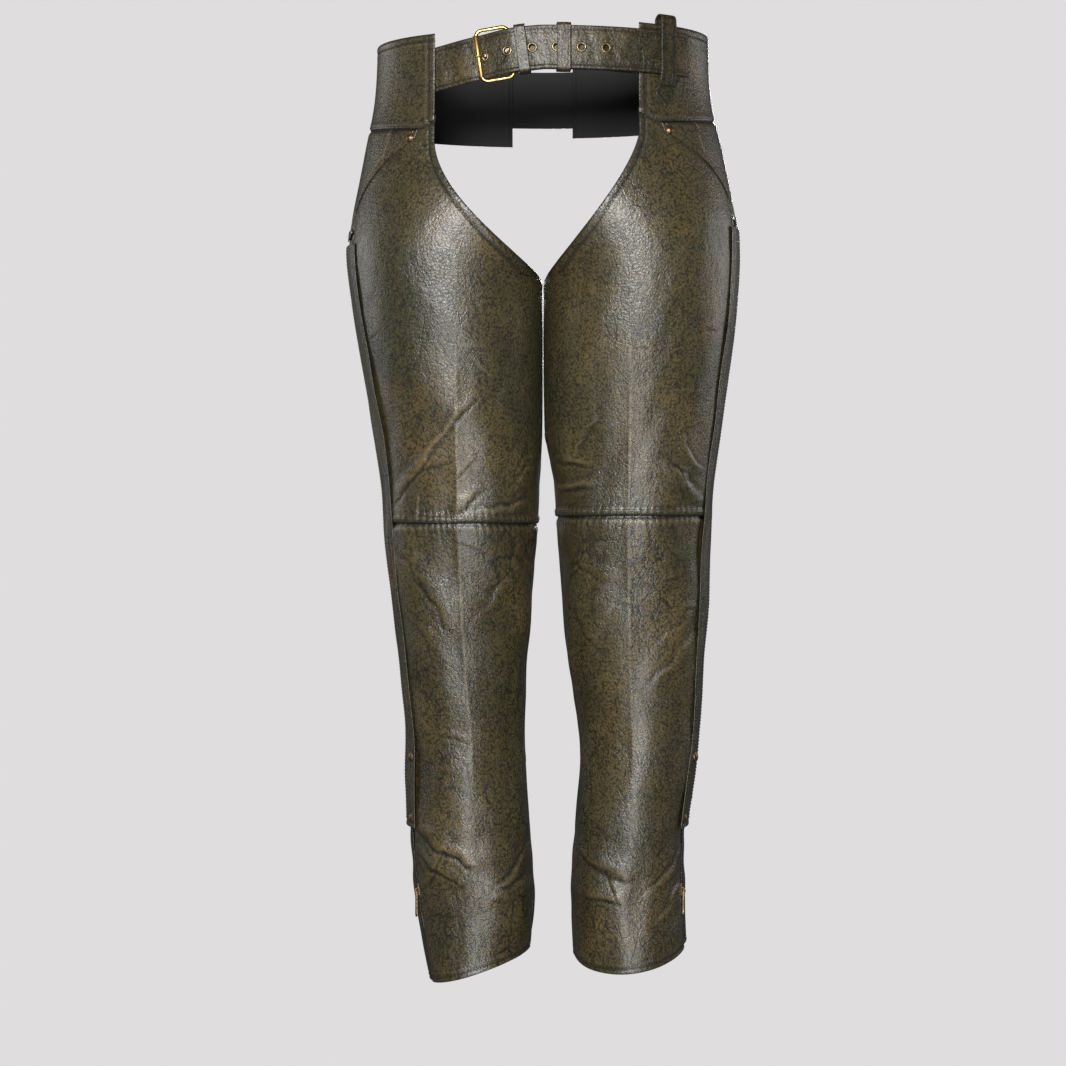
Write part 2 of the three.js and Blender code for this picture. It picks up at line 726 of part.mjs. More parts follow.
// A loop of leather round both straps.
function keeper(name, x, width, inner, outer) {
  const band = leather;
  const high = beltWidth / 2 + 1.2;
  const rectangle = (grow, Kind) => {
    const shape = new Kind();
    shape.moveTo(-high - grow, inner - grow);
    shape.lineTo(high + grow, inner - grow);
    shape.lineTo(high + grow, outer + grow);
    shape.lineTo(-high - grow, outer + grow);
    shape.closePath();
    return shape;
  };
  const shape = rectangle(band, THREE.Shape);
  shape.holes.push(rectangle(0, THREE.Path));
  const loop = new THREE.ExtrudeGeometry(shape, { depth: width, bevelEnabled: false });
  // The shape's first axis becomes height and its second stands outwards.
  const turned = new THREE.Matrix4().makeBasis(
    new THREE.Vector3(0, 0, 1),
    new THREE.Vector3(0, -1, 0),
    new THREE.Vector3(1, 0, 0),
  );
  loop.applyMatrix4(turned).translate(-width / 2, 0, 0);
  const flat = () => 0;
  add(name, loop, oliveLeather(), onStrap(x, flat));
}

// The belt loop on the left yoke: it hooks over the waist edge and ends in a sewn point.
function beltLoop() {
  const middle = 129;
  const route = new THREE.CatmullRomCurve3(
    [
      [-4.4, -16],
      [-4.4, 8],
      [-1, 15],
      [5.4, 16],
      [9.2, 9],
      [9.4, -20],
      [9.2, -46],
      [6.4, -57],
      [2.8, -63],
      [2.6, -80],
    ].map(([out, z]) => new THREE.Vector3(out, 0, z)),
    false,
    "centripetal",
  );
  const half = levels([[-82, 0.6], [-67, 10.6], [-58, 7.8], [40, 7.8]]);
  const steps = 24;
  const rings = [];
  for (let i = 0; i <= steps; i += 1) {
    const at = route.getPointAt(i / steps);
    const along = route.getTangentAt(i / steps);
    const wide = i > steps * 0.4 ? half(at.z) : 7.8;
    const corner = (across, side) => {
      const out = at.x + (side * -along.z * 1.4) / 2;
      const z = at.z + (side * along.x * 1.4) / 2;
      const level = Math.min(z, leftLeg.top);
      return onLeg(leftLeg, angleAt(leftLeg, middle + across, level), level, out).setZ(z);
    };
    rings.push([corner(-wide, -1), corner(wide, -1), corner(wide, 1), corner(-wide, 1)]);
  }
  add("belt_loop", loft(rings, [[0, 1, 2], [0, 2, 3]]), oliveLeather());
}

// The band that joins the two halves behind, held by four rivets.
function backBand() {
  const [reach, low, high, out] = [52, -72, -8, 3.1];
  const rings = [];
  const steps = 12;
  const behind = (x, z, off) => onLeg(leftLeg, -angleAt(leftLeg, x, z), z, off);
  for (let i = 0; i <= steps; i += 1) {
    const x = mix(-reach, reach, i / steps);
    const [near, far] = [out - leather / 2, out + leather / 2];
    rings.push([behind(x, low, near), behind(x, high, near), behind(x, high, far), behind(x, low, far)]);
  }
  add("back_band", loft(rings, [[0, 1, 2], [0, 2, 3]]), oliveLeather());
  const inset = 9; // from the band's end to its rivets
  for (const [side, x] of [["right", inset - reach], ["left", reach - inset]]) {
    for (const [level, z] of [["upper", high - 12], ["lower", low + 12]]) {
      const foot = behind(x, z, out + leather / 2 + 1);
      const outward = behind(x, z, out + 10).sub(foot);
      const { radius, height } = rivetSize;
      add(`back_rivet_${side}_${level}`, cap(radius, height), copperCap(), place(foot, outward));
    }
  }
}

for (const leg of [rightLeg, leftLeg]) {
  hipPanels(leg);
  legPanels(leg);
  zip(leg);
}
belt();
buckleStrap(buckleSet());
keeper("keeper_fixed", -22, 12, -3.4, 11.6);
keeper("keeper_sliding", 21, 15, -1.8, 9.6);
beltLoop();
backBand();

export default chaps;
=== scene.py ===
# Leather riding chaps: panels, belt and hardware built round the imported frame.
import math

import bpy
import numpy as np
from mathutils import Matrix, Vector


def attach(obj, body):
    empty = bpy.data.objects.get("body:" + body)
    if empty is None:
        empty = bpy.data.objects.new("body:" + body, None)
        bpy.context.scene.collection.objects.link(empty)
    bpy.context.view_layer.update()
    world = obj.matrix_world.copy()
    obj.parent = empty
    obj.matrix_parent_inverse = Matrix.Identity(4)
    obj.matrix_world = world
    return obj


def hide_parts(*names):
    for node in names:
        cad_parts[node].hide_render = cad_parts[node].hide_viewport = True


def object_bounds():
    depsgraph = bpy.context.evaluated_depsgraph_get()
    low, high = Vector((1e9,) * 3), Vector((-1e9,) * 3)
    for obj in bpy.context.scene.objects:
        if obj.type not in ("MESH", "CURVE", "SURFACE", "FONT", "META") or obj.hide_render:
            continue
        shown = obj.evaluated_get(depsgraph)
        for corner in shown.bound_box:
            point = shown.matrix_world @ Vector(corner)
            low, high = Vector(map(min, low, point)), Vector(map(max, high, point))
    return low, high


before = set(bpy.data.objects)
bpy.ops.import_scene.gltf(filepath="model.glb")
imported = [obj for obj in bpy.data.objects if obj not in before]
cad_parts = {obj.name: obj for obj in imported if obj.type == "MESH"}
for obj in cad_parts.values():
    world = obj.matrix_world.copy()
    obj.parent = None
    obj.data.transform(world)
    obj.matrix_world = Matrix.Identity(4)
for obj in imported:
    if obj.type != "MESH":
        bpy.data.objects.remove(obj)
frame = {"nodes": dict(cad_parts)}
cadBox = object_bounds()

mm = 0.001
leather = 1.6  # one layer of hide, in millimetres like every length below
crotchHeight = -260
yokeFoot = -92
sideSeam = -28  # degrees, where the front and back yokes meet
zipAngle = 16
zipEdge = 4.4
lap = 7  # how far one panel runs under its neighbour

rightLeg = {
    "name": "right",
    "side": -1,
    "top": -4,
    "knee": -526,
    "opening": {"x": 115, "start": -120, "power": 1.8},
    "yoke": {"side": -94, "drop": 13},
    "pocket": {"mouth": 46, "front": -101, "side": -207},
    "flapTop": -223,
    "hem": {"mid": -1010, "outer": -17, "front": 0},
    "z": [20, -60, -120, -190, -225, -262, -320, -400, -480, -530, -620, -750, -860, -940, -1035],
    "outer": [180, 184, 195, 208, 212, 209, 201, 187, 174, 170, 162, 149, 147, 138, 122],
    "inner": [-180, -183, -150, -55, -18, 1.5, 1.5, 2, 5, 8, 14, 21, 15, 11, 24],
    "depth": [109, 111, 117, 121, 120, 117, 110, 99, 89, 85, 78, 74, 77, 79, 77],
    "back": [0, 0, 0, 0, 0, 0, 0, 2, 4, 5, 10, 16, 15, 12, 8],
    # centre crease: distance from the middle plane at a few heights
    "creaseZ": [-330, -420, -520, -620, -760, -800],
    "creaseX": [93, 93, 92, 88, 78, 76],
    # drag lines: x and z of the start, middle and end, then height and width
    "folds": [
        [-163, -508, -118, -444, -64, -386, 2.4, 4.0],
        [-150, -470, -118, -470, -92, -452, 1.2, 4.5],
        [-11, -497, -56, -512, -86, -516, 2.0, 4.0],
        [-12, -455, -24, -474, -42, -492, 1.4, 3.5],
        [-100, -521, -78, -505, -62, -486, 1.6, 3.5],
        [-158, -545, -128, -590, -92, -652, 1.6, 5.0],
        [-150, -600, -126, -640, -108, -690, 1.0, 4.5],
        [-30, -560, -48, -600, -84, -640, 1.0, 5.0],
        [-146, -856, -112, -880, -66, -898, 2.6, 5.0],
        [-142, -880, -116, -905, -84, -915, 1.8, 4.0],
        [-16, -868, -30, -900, -58, -922, 2.0, 4.5],
        [-14, -906, -34, -922, -62, -926, 1.6, 4.0],
        [-134, -930, -118, -900, -100, -862, 1.4, 4.0],
        [-20, -300, -40, -350, -48, -420, 0.9, 8.0],
    ],
}
leftLeg = {
    "name": "left",
    "side": 1,
    "top": 7,
    "knee": -518,
    "opening": {"x": 101, "start": -110, "power": 1.45},
    "yoke": {"side": -84, "drop": 15},
    "pocket": {"mouth": 49, "front": -99, "side": -192},
    "flapTop": -204,
    "hem": {"mid": -990, "outer": 8, "front": -18},
    "z": [20, -60, -120, -190, -225, -262, -320, -400, -480, -530, -620, -750, -860, -930, -1035],
    "outer": [180, 184, 197, 210, 212, 211, 206, 195, 185, 182, 177, 170, 157, 155, 160],
    "inner": [-180, -183, -150, -55, -18, 1.5, 1.5, 4, 12, 15, 23, 41, 36, 32, 38],
    "depth": [109, 111, 117, 121, 120, 117, 110, 99, 89, 85, 78, 74, 77, 78, 80],
    "back": [0, 0, 0, 0, 0, 0, 0, 2, 4, 5, 10, 16, 15, 12, 8],
    "creaseZ": [-300, -420, -520, -620, -760, -820],
    "creaseX": [92, 92, 91, 92, 96, 97],
    "folds": [
        [14, -452, 30, -462, 52, -462, 2.0, 3.5],
        [16, -492, 32, -486, 56, -490, 2.0, 3.5],
        [176, -500, 150, -482, 128, -452, 1.6, 4.5],
        [174, -470, 156, -452, 146, -424, 1.0, 4.0],
        [20, -470, 44, -436, 60, -400, 1.2, 5.0],
        [168, -640, 140, -668, 110, -708, 1.6, 5.0],
        [166, -610, 140, -640, 118, -660, 1.0, 4.0],
        [24, -600, 42, -640, 70, -672, 1.2, 5.0],
        [30, -560, 52, -584, 84, -592, 0.9, 5.0],
        [36, -880, 64, -905, 96, -912, 2.0, 5.0],
        [34, -930, 62, -928, 92, -936, 1.6, 4.5],
        [154, -880, 132, -900, 108, -930, 2.0, 4.5],
        [158, -905, 138, -930, 116, -960, 1.6, 4.0],
        [152, -700, 150, -760, 140, -800, 1.0, 5.0],
    ],
}


def outline(leg, key, z):
    # the row values joined by a cubic whose slope at each row is that of its two neighbours
    rowZ = np.array(leg["z"], float)
    row = np.array(leg[key], float)
    slope = np.empty_like(row)
    slope[1:-1] = (row[2:] - row[:-2]) / (rowZ[2:] - rowZ[:-2])
    slope[0] = (row[1] - row[0]) / (rowZ[1] - rowZ[0])
    slope[-1] = (row[-1] - row[-2]) / (rowZ[-1] - rowZ[-2])
    i = np.clip(np.searchsorted(-rowZ, -z, side="right"), 1, len(rowZ) - 1)
    span = rowZ[i] - rowZ[i - 1]
    t = np.clip((z - rowZ[i - 1]) / span, -0.5, 1.5)
    line = row[i - 1] + (row[i] - row[i - 1]) * t * t * (3 - 2 * t)
    return line + t * (1 - t) * span * ((1 - t) * slope[i - 1] - t * slope[i])


def section(leg, z):
    outer, inner = outline(leg, "outer", z), outline(leg, "inner", z)
    return (outer + inner) / 2, (outer - inner) / 2, outline(leg, "depth", z), outline(leg, "back", z)


def onLeg(leg, angle, z, out=0.0):
    # the oval's point at an angle (0 outermost, 90 in front) moved off it, square to the oval
    middle, half, depth, back = section(leg, z)
    c, s = np.cos(np.radians(angle)), np.sin(np.radians(angle))
    length = np.hypot(c / half, s / depth)
    x = middle + half * c + out * c / half / length
    y = back - depth * s - out * s / depth / length
    return np.stack(np.broadcast_arrays(leg["side"] * x, y, z), -1)


def turn(leg, distance, z):
    return np.degrees(distance / section(leg, z)[1])


def angleAt(leg, x, z):
    middle, half = section(leg, z)[:2]
    return np.degrees(np.arccos(np.clip((x - middle) / half, -1, 1)))


def frontEdge(leg, z):
    o = leg["opening"]
    down = np.clip((z - o["start"]) / (crotchHeight - o["start"]), 0, 1)
    upper = angleAt(leg, o["x"] * (1 - down ** o["power"]), z)
    return np.where(z <= crotchHeight, 180.0, upper) - turn(leg, 0.3, z)


def backEdge(leg, z):
    down = np.clip((z - yokeFoot) / (crotchHeight - yokeFoot), 0, 1)
    upper = angleAt(leg, 132 * (1 - down ** 2.2), z)
    return turn(leg, 0.3, z) - np.where(z <= crotchHeight, 180.0, upper)


def zipSide(leg, z, distance):
    return zipAngle + turn(leg, distance, z)


def pocketLine(leg, angle):
    start, end = zipAngle - 2, 52
    part = np.clip((angle - start) / (end - start), 0, 1.3)
    p = leg["pocket"]
    return p["side"] + (p["front"] - p["side"]) * part**0.55


def yokeLine(leg, angle):
    seam = leg["yoke"]["side"] - leg["yoke"]["drop"] * np.maximum(0, angle / 52)
    return np.where(angle > leg["pocket"]["mouth"], np.maximum(seam, pocketLine(leg, angle)), seam)


def hemLine(leg, angle):
    h = leg["hem"]
    return h["mid"] + h["outer"] * np.cos(np.radians(angle)) + h["front"] * np.sin(np.radians(angle))


def constant(value):
    return lambda a: np.full_like(np.asarray(a, float), value)


def bump(d, width):
    return np.exp(-((d / width) ** 2))


def alongCurve(px, pz, curve, samples=14):
    # signed distance from points to a three-point curve, and how far along it the nearest point is
    t = np.linspace(0, 1, samples)
    x0, z0, x1, z1, x2, z2 = curve
    cx = (1 - t) ** 2 * x0 + 2 * t * (1 - t) * x1 + t**2 * x2
    cz = (1 - t) ** 2 * z0 + 2 * t * (1 - t) * z1 + t**2 * z2
    best = np.full(px.shape, 1e9)
    side = np.zeros(px.shape)
    where = np.zeros(px.shape)
    for i in range(samples - 1):
        dx, dz = cx[i + 1] - cx[i], cz[i + 1] - cz[i]
        along = np.clip(((px - cx[i]) * dx + (pz - cz[i]) * dz) / (dx * dx + dz * dz), 0, 1)
        ox, oz = px - cx[i] - along * dx, pz - cz[i] - along * dz
        far = np.hypot(ox, oz)
        nearer = far < best
        best = np.where(nearer, far, best)
        side = np.where(nearer, np.sign(dx * oz - dz * ox), side)
        where = np.where(nearer, (i + along) / (samples - 1), where)
    return best * side, where


def waves(u, v, seed, count, longest, shortest):
    # a smooth random field: sines of random direction, each as high as it is long
    rng = np.random.default_rng(seed)
    total = np.zeros(np.broadcast(u, v).shape)
    for length in np.geomspace(longest, shortest, count):
        angle, phase = rng.uniform(0, 2 * math.pi, 2)
        along = (u * math.cos(angle) + v * math.sin(angle)) / length
        total += length / longest * np.sin(2 * math.pi * along + phase)
    return total


def foldShape(d, t, wide):
    # a broad soft swell beside a narrow valley, fading out at both ends
    taper = np.sin(math.pi * np.clip(t, 0, 1)) ** 0.8
    return taper * (0.9 * bump(d - 0.9 * wide, 1.7 * wide) - 0.75 * bump(d + 0.5 * wide, 0.6 * wide))


def strayCreases(arc, z, seed):
    # short creases scattered where a leg bends: most of them at the knee and the ankle
    rng = np.random.default_rng(seed)
    zones = [-480, -560, -890, -720, -340]
    share = [0.26, 0.22, 0.28, 0.16, 0.08]
    total = np.zeros(z.shape)
    for _ in range(46):
        centreZ = rng.choice(zones, p=share) + rng.normal(0, 40)
        centreArc = rng.uniform(-230, 230)
        length, tilt, bend = rng.uniform(18, 55), rng.normal(0, 0.6), rng.normal(0, 5)
        high, wide = rng.uniform(0.3, 0.95), rng.uniform(1.6, 3.6)
        dx, dz = length * math.cos(tilt), length * math.sin(tilt)
        near = (np.abs(z - centreZ) < 60) & (np.abs(arc - centreArc) < 60)
        if near.any():
            start = [centreArc - dx / 2, centreZ - dz / 2]
            middle = [centreArc + bend, centreZ + bend]
            finish = [centreArc + dx / 2, centreZ + dz / 2]
            curve = start + middle + finish
            d, t = alongCurve(arc[near], z[near], curve, 8)
            total[near] += high * foldShape(d, t, wide)
    return total


def relief(leg, angle, z):
    # how far the leather stands off its plain oval: slack, pressed crease, drag folds and the ankle
    angle, z = np.broadcast_arrays(np.asarray(angle, float), np.asarray(z, float))
    middle, half, depth, _ = section(leg, z)
    x = leg["side"] * (middle + half * np.cos(np.radians(angle)))
    front = np.clip(np.sin(np.radians(angle)) * 3, 0, 1)
    arc = np.radians(angle) * (half + depth) / 2
    seed = 11 if leg["side"] < 0 else 23
    low = np.clip((-z - 250) / 250, 0.15, 1)
    out = 1.3 * low * waves(arc, z * 0.6, seed, 11, 190, 34)
    out += 0.10 * waves(arc, z * 0.5, seed + 1, 7, 34, 9)
    creaseX = np.interp(-z, -np.array(leg["creaseZ"], float), leg["creaseX"])
    strength = np.interp(-z, [300, 400, 500, 740, 820], [0, 1, 1.2, 0.9, 0])
    out += front * strength * 1.5 * np.exp(-np.abs(x * leg["side"] - creaseX) / 5)
    sway = 1.6 * waves(x, z, seed + 7, 4, 45, 12)
    for fold in leg["folds"]:
        d, t = alongCurve(x, z, fold[:6])
        high, wide = fold[6:]
        out += front * high * foldShape(d + sway, t, wide)
    out += strayCreases(arc, z, seed + 3)
    # ankle and knee hollows run round the back of the leg
    behind = np.clip(-np.sin(np.radians(angle)) * 2, 0, 1)
    knee = bump(z - leg["knee"], 60)
    out += behind * knee * 1.8 * np.sin(z / 7 + 1.2 * np.sin(arc / 30) + seed)
    ankle = bump(z + 900, 45)
    out += (0.35 + 0.65 * behind) * ankle * 1.5 * np.sin(z / 6.5 + 1.6 * np.sin(arc / 26 + seed))
    calm = np.clip((leg["top"] - 130 - z) / 60, 0, 1)
    # the thighs press together from the crotch to just above the knee
    inseam = bump(180 - np.abs(angle), 24)
    inseam *= np.clip((z + 478) / 50, 0, 1) * np.clip((crotchHeight + 6 - z) / 14, 0, 1)
    swell = np.clip(outline(leg, "inner", z) - leather / 2 - 0.1, 0, 6)
    # the slider runs straight, so the leather lies flat beside its path
    flat = bump(angle - zipAngle, 9) * np.clip((-870 - z) / 16, 0, 1)
    return (out * calm * (1 - inseam) + swell * inseam) * (1 - flat)


def makeMesh(name, points, faces, material, smooth=True):
    # closed shells only: the winding is turned round when the volume comes out negative
    points = np.asarray(points, float).reshape(-1, 3) * mm
    faces = np.asarray(faces, int)
    a, b, c = points[faces[:, 0]], points[faces[:, 1]], points[faces[:, 2]]
    volume = np.einsum("ij,ij->i", a, np.cross(b, c)).sum()
    if faces.shape[1] == 4:
        d = points[faces[:, 3]]
        volume += np.einsum("ij,ij->i", a, np.cross(c, d)).sum()
    flipped = volume < 0
    if flipped:
        faces = faces[:, ::-1]
    mesh = bpy.data.meshes.new(name)
    mesh.vertices.add(len(points))
    mesh.vertices.foreach_set("co", points.ravel())
    sides = faces.shape[1]
    mesh.loops.add(faces.size)
    mesh.loops.foreach_set("vertex_index", faces.ravel())
    mesh.polygons.add(len(faces))
    mesh.polygons.foreach_set("loop_start", np.arange(0, faces.size, sides))
    mesh.polygons.foreach_set("loop_total", np.full(len(faces), sides))
    mesh.update(calc_edges=True)
    mesh.polygons.foreach_set("use_smooth", np.full(len(faces), smooth))
    obj = bpy.data.objects.new(name, mesh)
    bpy.context.collection.objects.link(obj)
    for one in np.atleast_1d(material):
        mesh.materials.append(one)
    return obj


def setAttribute(obj, name, values):
    layer = obj.data.attributes.new(name, "FLOAT", "POINT")
    layer.data.foreach_set("value", np.asarray(values, np.float32).ravel())


def ringFaces(rings, around, closed=False):
    # quads of a stack of rings, each ring closed on itself
    j, i = np.meshgrid(np.arange(rings if closed else rings - 1), np.arange(around), indexing="ij")
    a = j * around + i
    b = j * around + (i + 1) % around
    up = (j + 1) % rings * around
    return np.stack([a, b, up + (i + 1) % around, up + i], -1).reshape(-1, 4)


def tubeThrough(path, radius, around=12, closed=False, squash=1.0, up=(0, 0, 1)):
    # a round section carried along a path; an open tube is left open at both ends
    path = np.asarray(path, float)
    if closed:
        tangent = np.roll(path, -1, 0) - np.roll(path, 1, 0)
    else:
        tangent = np.gradient(path, axis=0)
    tangent /= np.linalg.norm(tangent, axis=1)[:, None]
    first = np.cross(tangent, np.asarray(up, float))
    first /= np.linalg.norm(first, axis=1)[:, None]
    second = np.cross(tangent, first)
    turnRound = np.linspace(0, 2 * math.pi, around, endpoint=False)
    size = np.broadcast_to(np.asarray(radius, float), (len(path),))[:, None, None]
    ring = np.cos(turnRound)[:, None] * first[:, None]
    ring = ring + squash * np.sin(turnRound)[:, None] * second[:, None]
    points = (path[:, None] + size * ring).reshape(-1, 3)
    return points, ringFaces(len(path), around, closed)


def joinParts(parts):
    # several (points, faces) pairs as one
    points, faces, count = [], [], 0
    for p, f in parts:
        points.append(p)
        faces.append(f + count)
        count += len(p)
    return np.concatenate(points), np.concatenate(faces)


def spread(count, length, roll=0.9):
    # places from 0 to 1, with a few close to both ends so that the rolled edge is round
    near = np.array([0, 0.12, 0.4, 1.0]) * roll / length
    return np.concatenate([near[:-1], np.linspace(near[-1], 1 - near[-1], count), (1 - near[:-1])[::-1]])


def slab(name, outerPoints, innerPoints, materials, attributes=None):
    # a sheet of hide: an outer and an inner grid, joined round the rim
    rows, cols = outerPoints.shape[:2]
    count = rows * cols
    j, i = np.meshgrid(np.arange(rows - 1), np.arange(cols - 1), indexing="ij")
    a = j * cols + i
    quads = np.stack([a, a + 1, a + cols + 1, a + cols], -1).reshape(-1, 4)
    edge = np.concatenate([
        np.arange(cols - 1),
        np.arange(rows - 1) * cols + cols - 1,
        (rows - 1) * cols + np.arange(cols - 1, 0, -1),
        np.arange(rows - 1, 0, -1) * cols,
    ])
    following = np.roll(edge, -1)
    rim = np.stack([edge, edge + count, following + count, following], -1)
    faces = np.concatenate([quads, quads[:, ::-1] + count, rim])
    points = np.concatenate([outerPoints.reshape(-1, 3), innerPoints.reshape(-1, 3)])
    obj = makeMesh(name, points, faces, materials)
    if len(np.atleast_1d(materials)) > 1:
        lining = np.zeros(len(faces), np.int32)
        lining[len(quads):2 * len(quads)] = 1
        obj.data.polygons.foreach_set("material_index", lining)
    for key, values in (attributes or {}).items():
        setAttribute(obj, key, np.concatenate([values.ravel(), values.ravel()]))
    return obj


def finishPiece(obj, nodes, body="leather"):
    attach(obj, body)
    if nodes:
        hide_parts(*np.atleast_1d(nodes).tolist())
    return obj


view = {"distance": 2650, "x": -11, "z": -536, "across": 1173}
cameraData = bpy.data.cameras.new("camera")
cameraData.sensor_width = 36
cameraData.lens = 36 * view["distance"] / view["across"]
cameraData.clip_end = 50
camera = bpy.data.objects.new("camera", cameraData)
camera.location = (view["x"] * mm, -view["distance"] * mm, view["z"] * mm)
camera.rotation_euler = (math.pi / 2, 0, 0)
bpy.context.collection.objects.link(camera)
bpy.context.scene.camera = camera

stand = {"gap": 0.088, "wide": 14, "colour": (0.738, 0.723, 0.730), "ambient": (0.065, 0.065, 0.066)}


def stageSheet(name, points):
    # pale paper that only the camera sees, so that it stays even and throws no light back
    mesh = bpy.data.meshes.new(name)
    mesh.from_pydata(points, [], [(0, 1, 2, 3)])
    sheet = bpy.data.objects.new(name, mesh)
    bpy.context.collection.objects.link(sheet)
    sheet.visible_diffuse = False
    sheet.visible_glossy = False
    sheet.visible_shadow = False
    paper = bpy.data.materials.new(f"{name}_paper")
    paper.use_nodes = True
    shader = paper.node_tree.nodes["Principled BSDF"]
    shader.inputs["Base Color"].default_value = (0, 0, 0, 1)
    shader.inputs["Specular IOR Level"].default_value = 0
    shader.inputs["Emission Color"].default_value = (*stand["colour"], 1)
    shader.inputs["Emission Strength"].default_value = 1
    mesh.materials.append(paper)


def floorAndLight():
    low = cadBox[0][2] - stand["gap"]
    w = stand["wide"]
    stageSheet("studio_floor", [(-w, -w, low), (w, -w, low), (w, w, low), (-w, w, low)])
    world = bpy.data.worlds.new("studio")
    world.use_nodes = True
    back = world.node_tree.nodes["Background"]
    seen = world.node_tree.nodes.new("ShaderNodeLightPath")
    paint = world.node_tree.nodes.new("ShaderNodeMix")
    paint.data_type = "RGBA"
    paint.inputs["A"].default_value = (*stand["ambient"], 1)
    paint.inputs["B"].default_value = (*stand["colour"], 1)
    world.node_tree.links.new(seen.outputs["Is Camera Ray"], paint.inputs["Factor"])
    world.node_tree.links.new(paint.outputs["Result"], back.inputs["Color"])
    bpy.context.scene.world = world
    lamps = [
        ("key_softbox", (-0.3, -2.5, 0.25), 0.5, 68),
        ("low_softbox", (0.1, -2.3, -1.3), 0.7, 20),
        ("left_softbox", (2.3, 1.0, 0.0), 1.2, 9),
        ("right_softbox", (-2.3, 1.0, 0.0), 1.2, 9),
        ("rear_softbox", (0.3, 2.6, 0.3), 1.0, 60),
    ]
    for name, place, size, power in lamps:
        data = bpy.data.lights.new(name, "AREA")
        data.size = size
        data.energy = power
        lamp = bpy.data.objects.new(name, data)
        lamp.location = place
        aim = np.array([0, 0, -0.45]) - np.array(place)
        yaw = math.atan2(aim[1], aim[0]) - math.pi / 2
        pitch = math.atan2(aim[2], math.hypot(aim[0], aim[1]))
        lamp.rotation_euler = (math.pi / 2 + pitch, 0, yaw)
        bpy.context.collection.objects.link(lamp)


floorAndLight()
bpy.context.scene.view_settings.view_transform = "Standard"
print("camera, floor and lights are set")


def newMaterial(name):
    material = bpy.data.materials.new(name)
    material.use_nodes = True
    nodes, links = material.node_tree.nodes, material.node_tree.links
    return material, nodes, links, nodes["Principled BSDF"]


def node(nodes, kind, **settings):
    made = nodes.new(kind)
    for key, value in settings.items():
        if key in made.inputs:
            made.inputs[key].default_value = value
        else:
            setattr(made, key, value)
    return made


def stretched(nodes, links, scale):
    # object coordinates, scaled along each axis
    place = nodes.new("ShaderNodeTexCoord")
    mapping = nodes.new("ShaderNodeMapping")
    mapping.inputs["Scale"].default_value = scale
    links.new(place.outputs["Object"], mapping.inputs["Vector"])
    return mapping.outputs["Vector"]


def noise(nodes, links, vector, scale, detail=4.0, roughness=0.55, distortion=0.0):
    settings = {"Scale": scale, "Detail": detail, "Roughness": roughness, "Distortion": distortion}
    made = node(nodes, "ShaderNodeTexNoise", **settings)
    links.new(vector, made.inputs["Vector"])
    return made.outputs["Fac"]


def ramp(nodes, links, value, stops):
    made = nodes.new("ShaderNodeValToRGB")
    elements = made.color_ramp.elements
    while len(elements) < len(stops):
        elements.new(0.5)
    for element, (place, colour) in zip(elements, stops):
        element.position = place
        element.color = (*colour, 1) if len(np.atleast_1d(colour)) == 3 else (colour, colour, colour, 1)
    links.new(value, made.inputs["Fac"])
    return made.outputs["Color"]


def mixColour(nodes, links, factor, a, b, blend="MIX"):
    made = nodes.new("ShaderNodeMix")
    made.data_type = "RGBA"
    made.blend_type = blend
    for value, socket in ((factor, made.inputs["Factor"]), (a, made.inputs["A"]), (b, made.inputs["B"])):
        if isinstance(value, bpy.types.NodeSocket):
            links.new(value, socket)
        elif isinstance(value, (int, float)):
            socket.default_value = value
        else:
            socket.default_value = (*value, 1)
    return made.outputs["Result"]


def maths(nodes, links, kind, a, b=0.0):
    made = nodes.new("ShaderNodeMath")
    made.operation = kind
    for value, socket in ((a, made.inputs[0]), (b, made.inputs[1])):
        if isinstance(value, bpy.types.NodeSocket):
            links.new(value, socket)
        else:
            socket.default_value = value
    return made.outputs[0]


hide = {
    "dark": (0.007, 0.007, 0.005),
    "olive": (0.078, 0.063, 0.024),
    "golden": (0.170, 0.113, 0.042),
    "green": (0.046, 0.045, 0.020),
    # light colour of worn ridges, which also serves as their painted highlight
    "wear_and_sheen": (0.20, 0.148, 0.068),
    "grain": 400,
    "crack": 115,
}


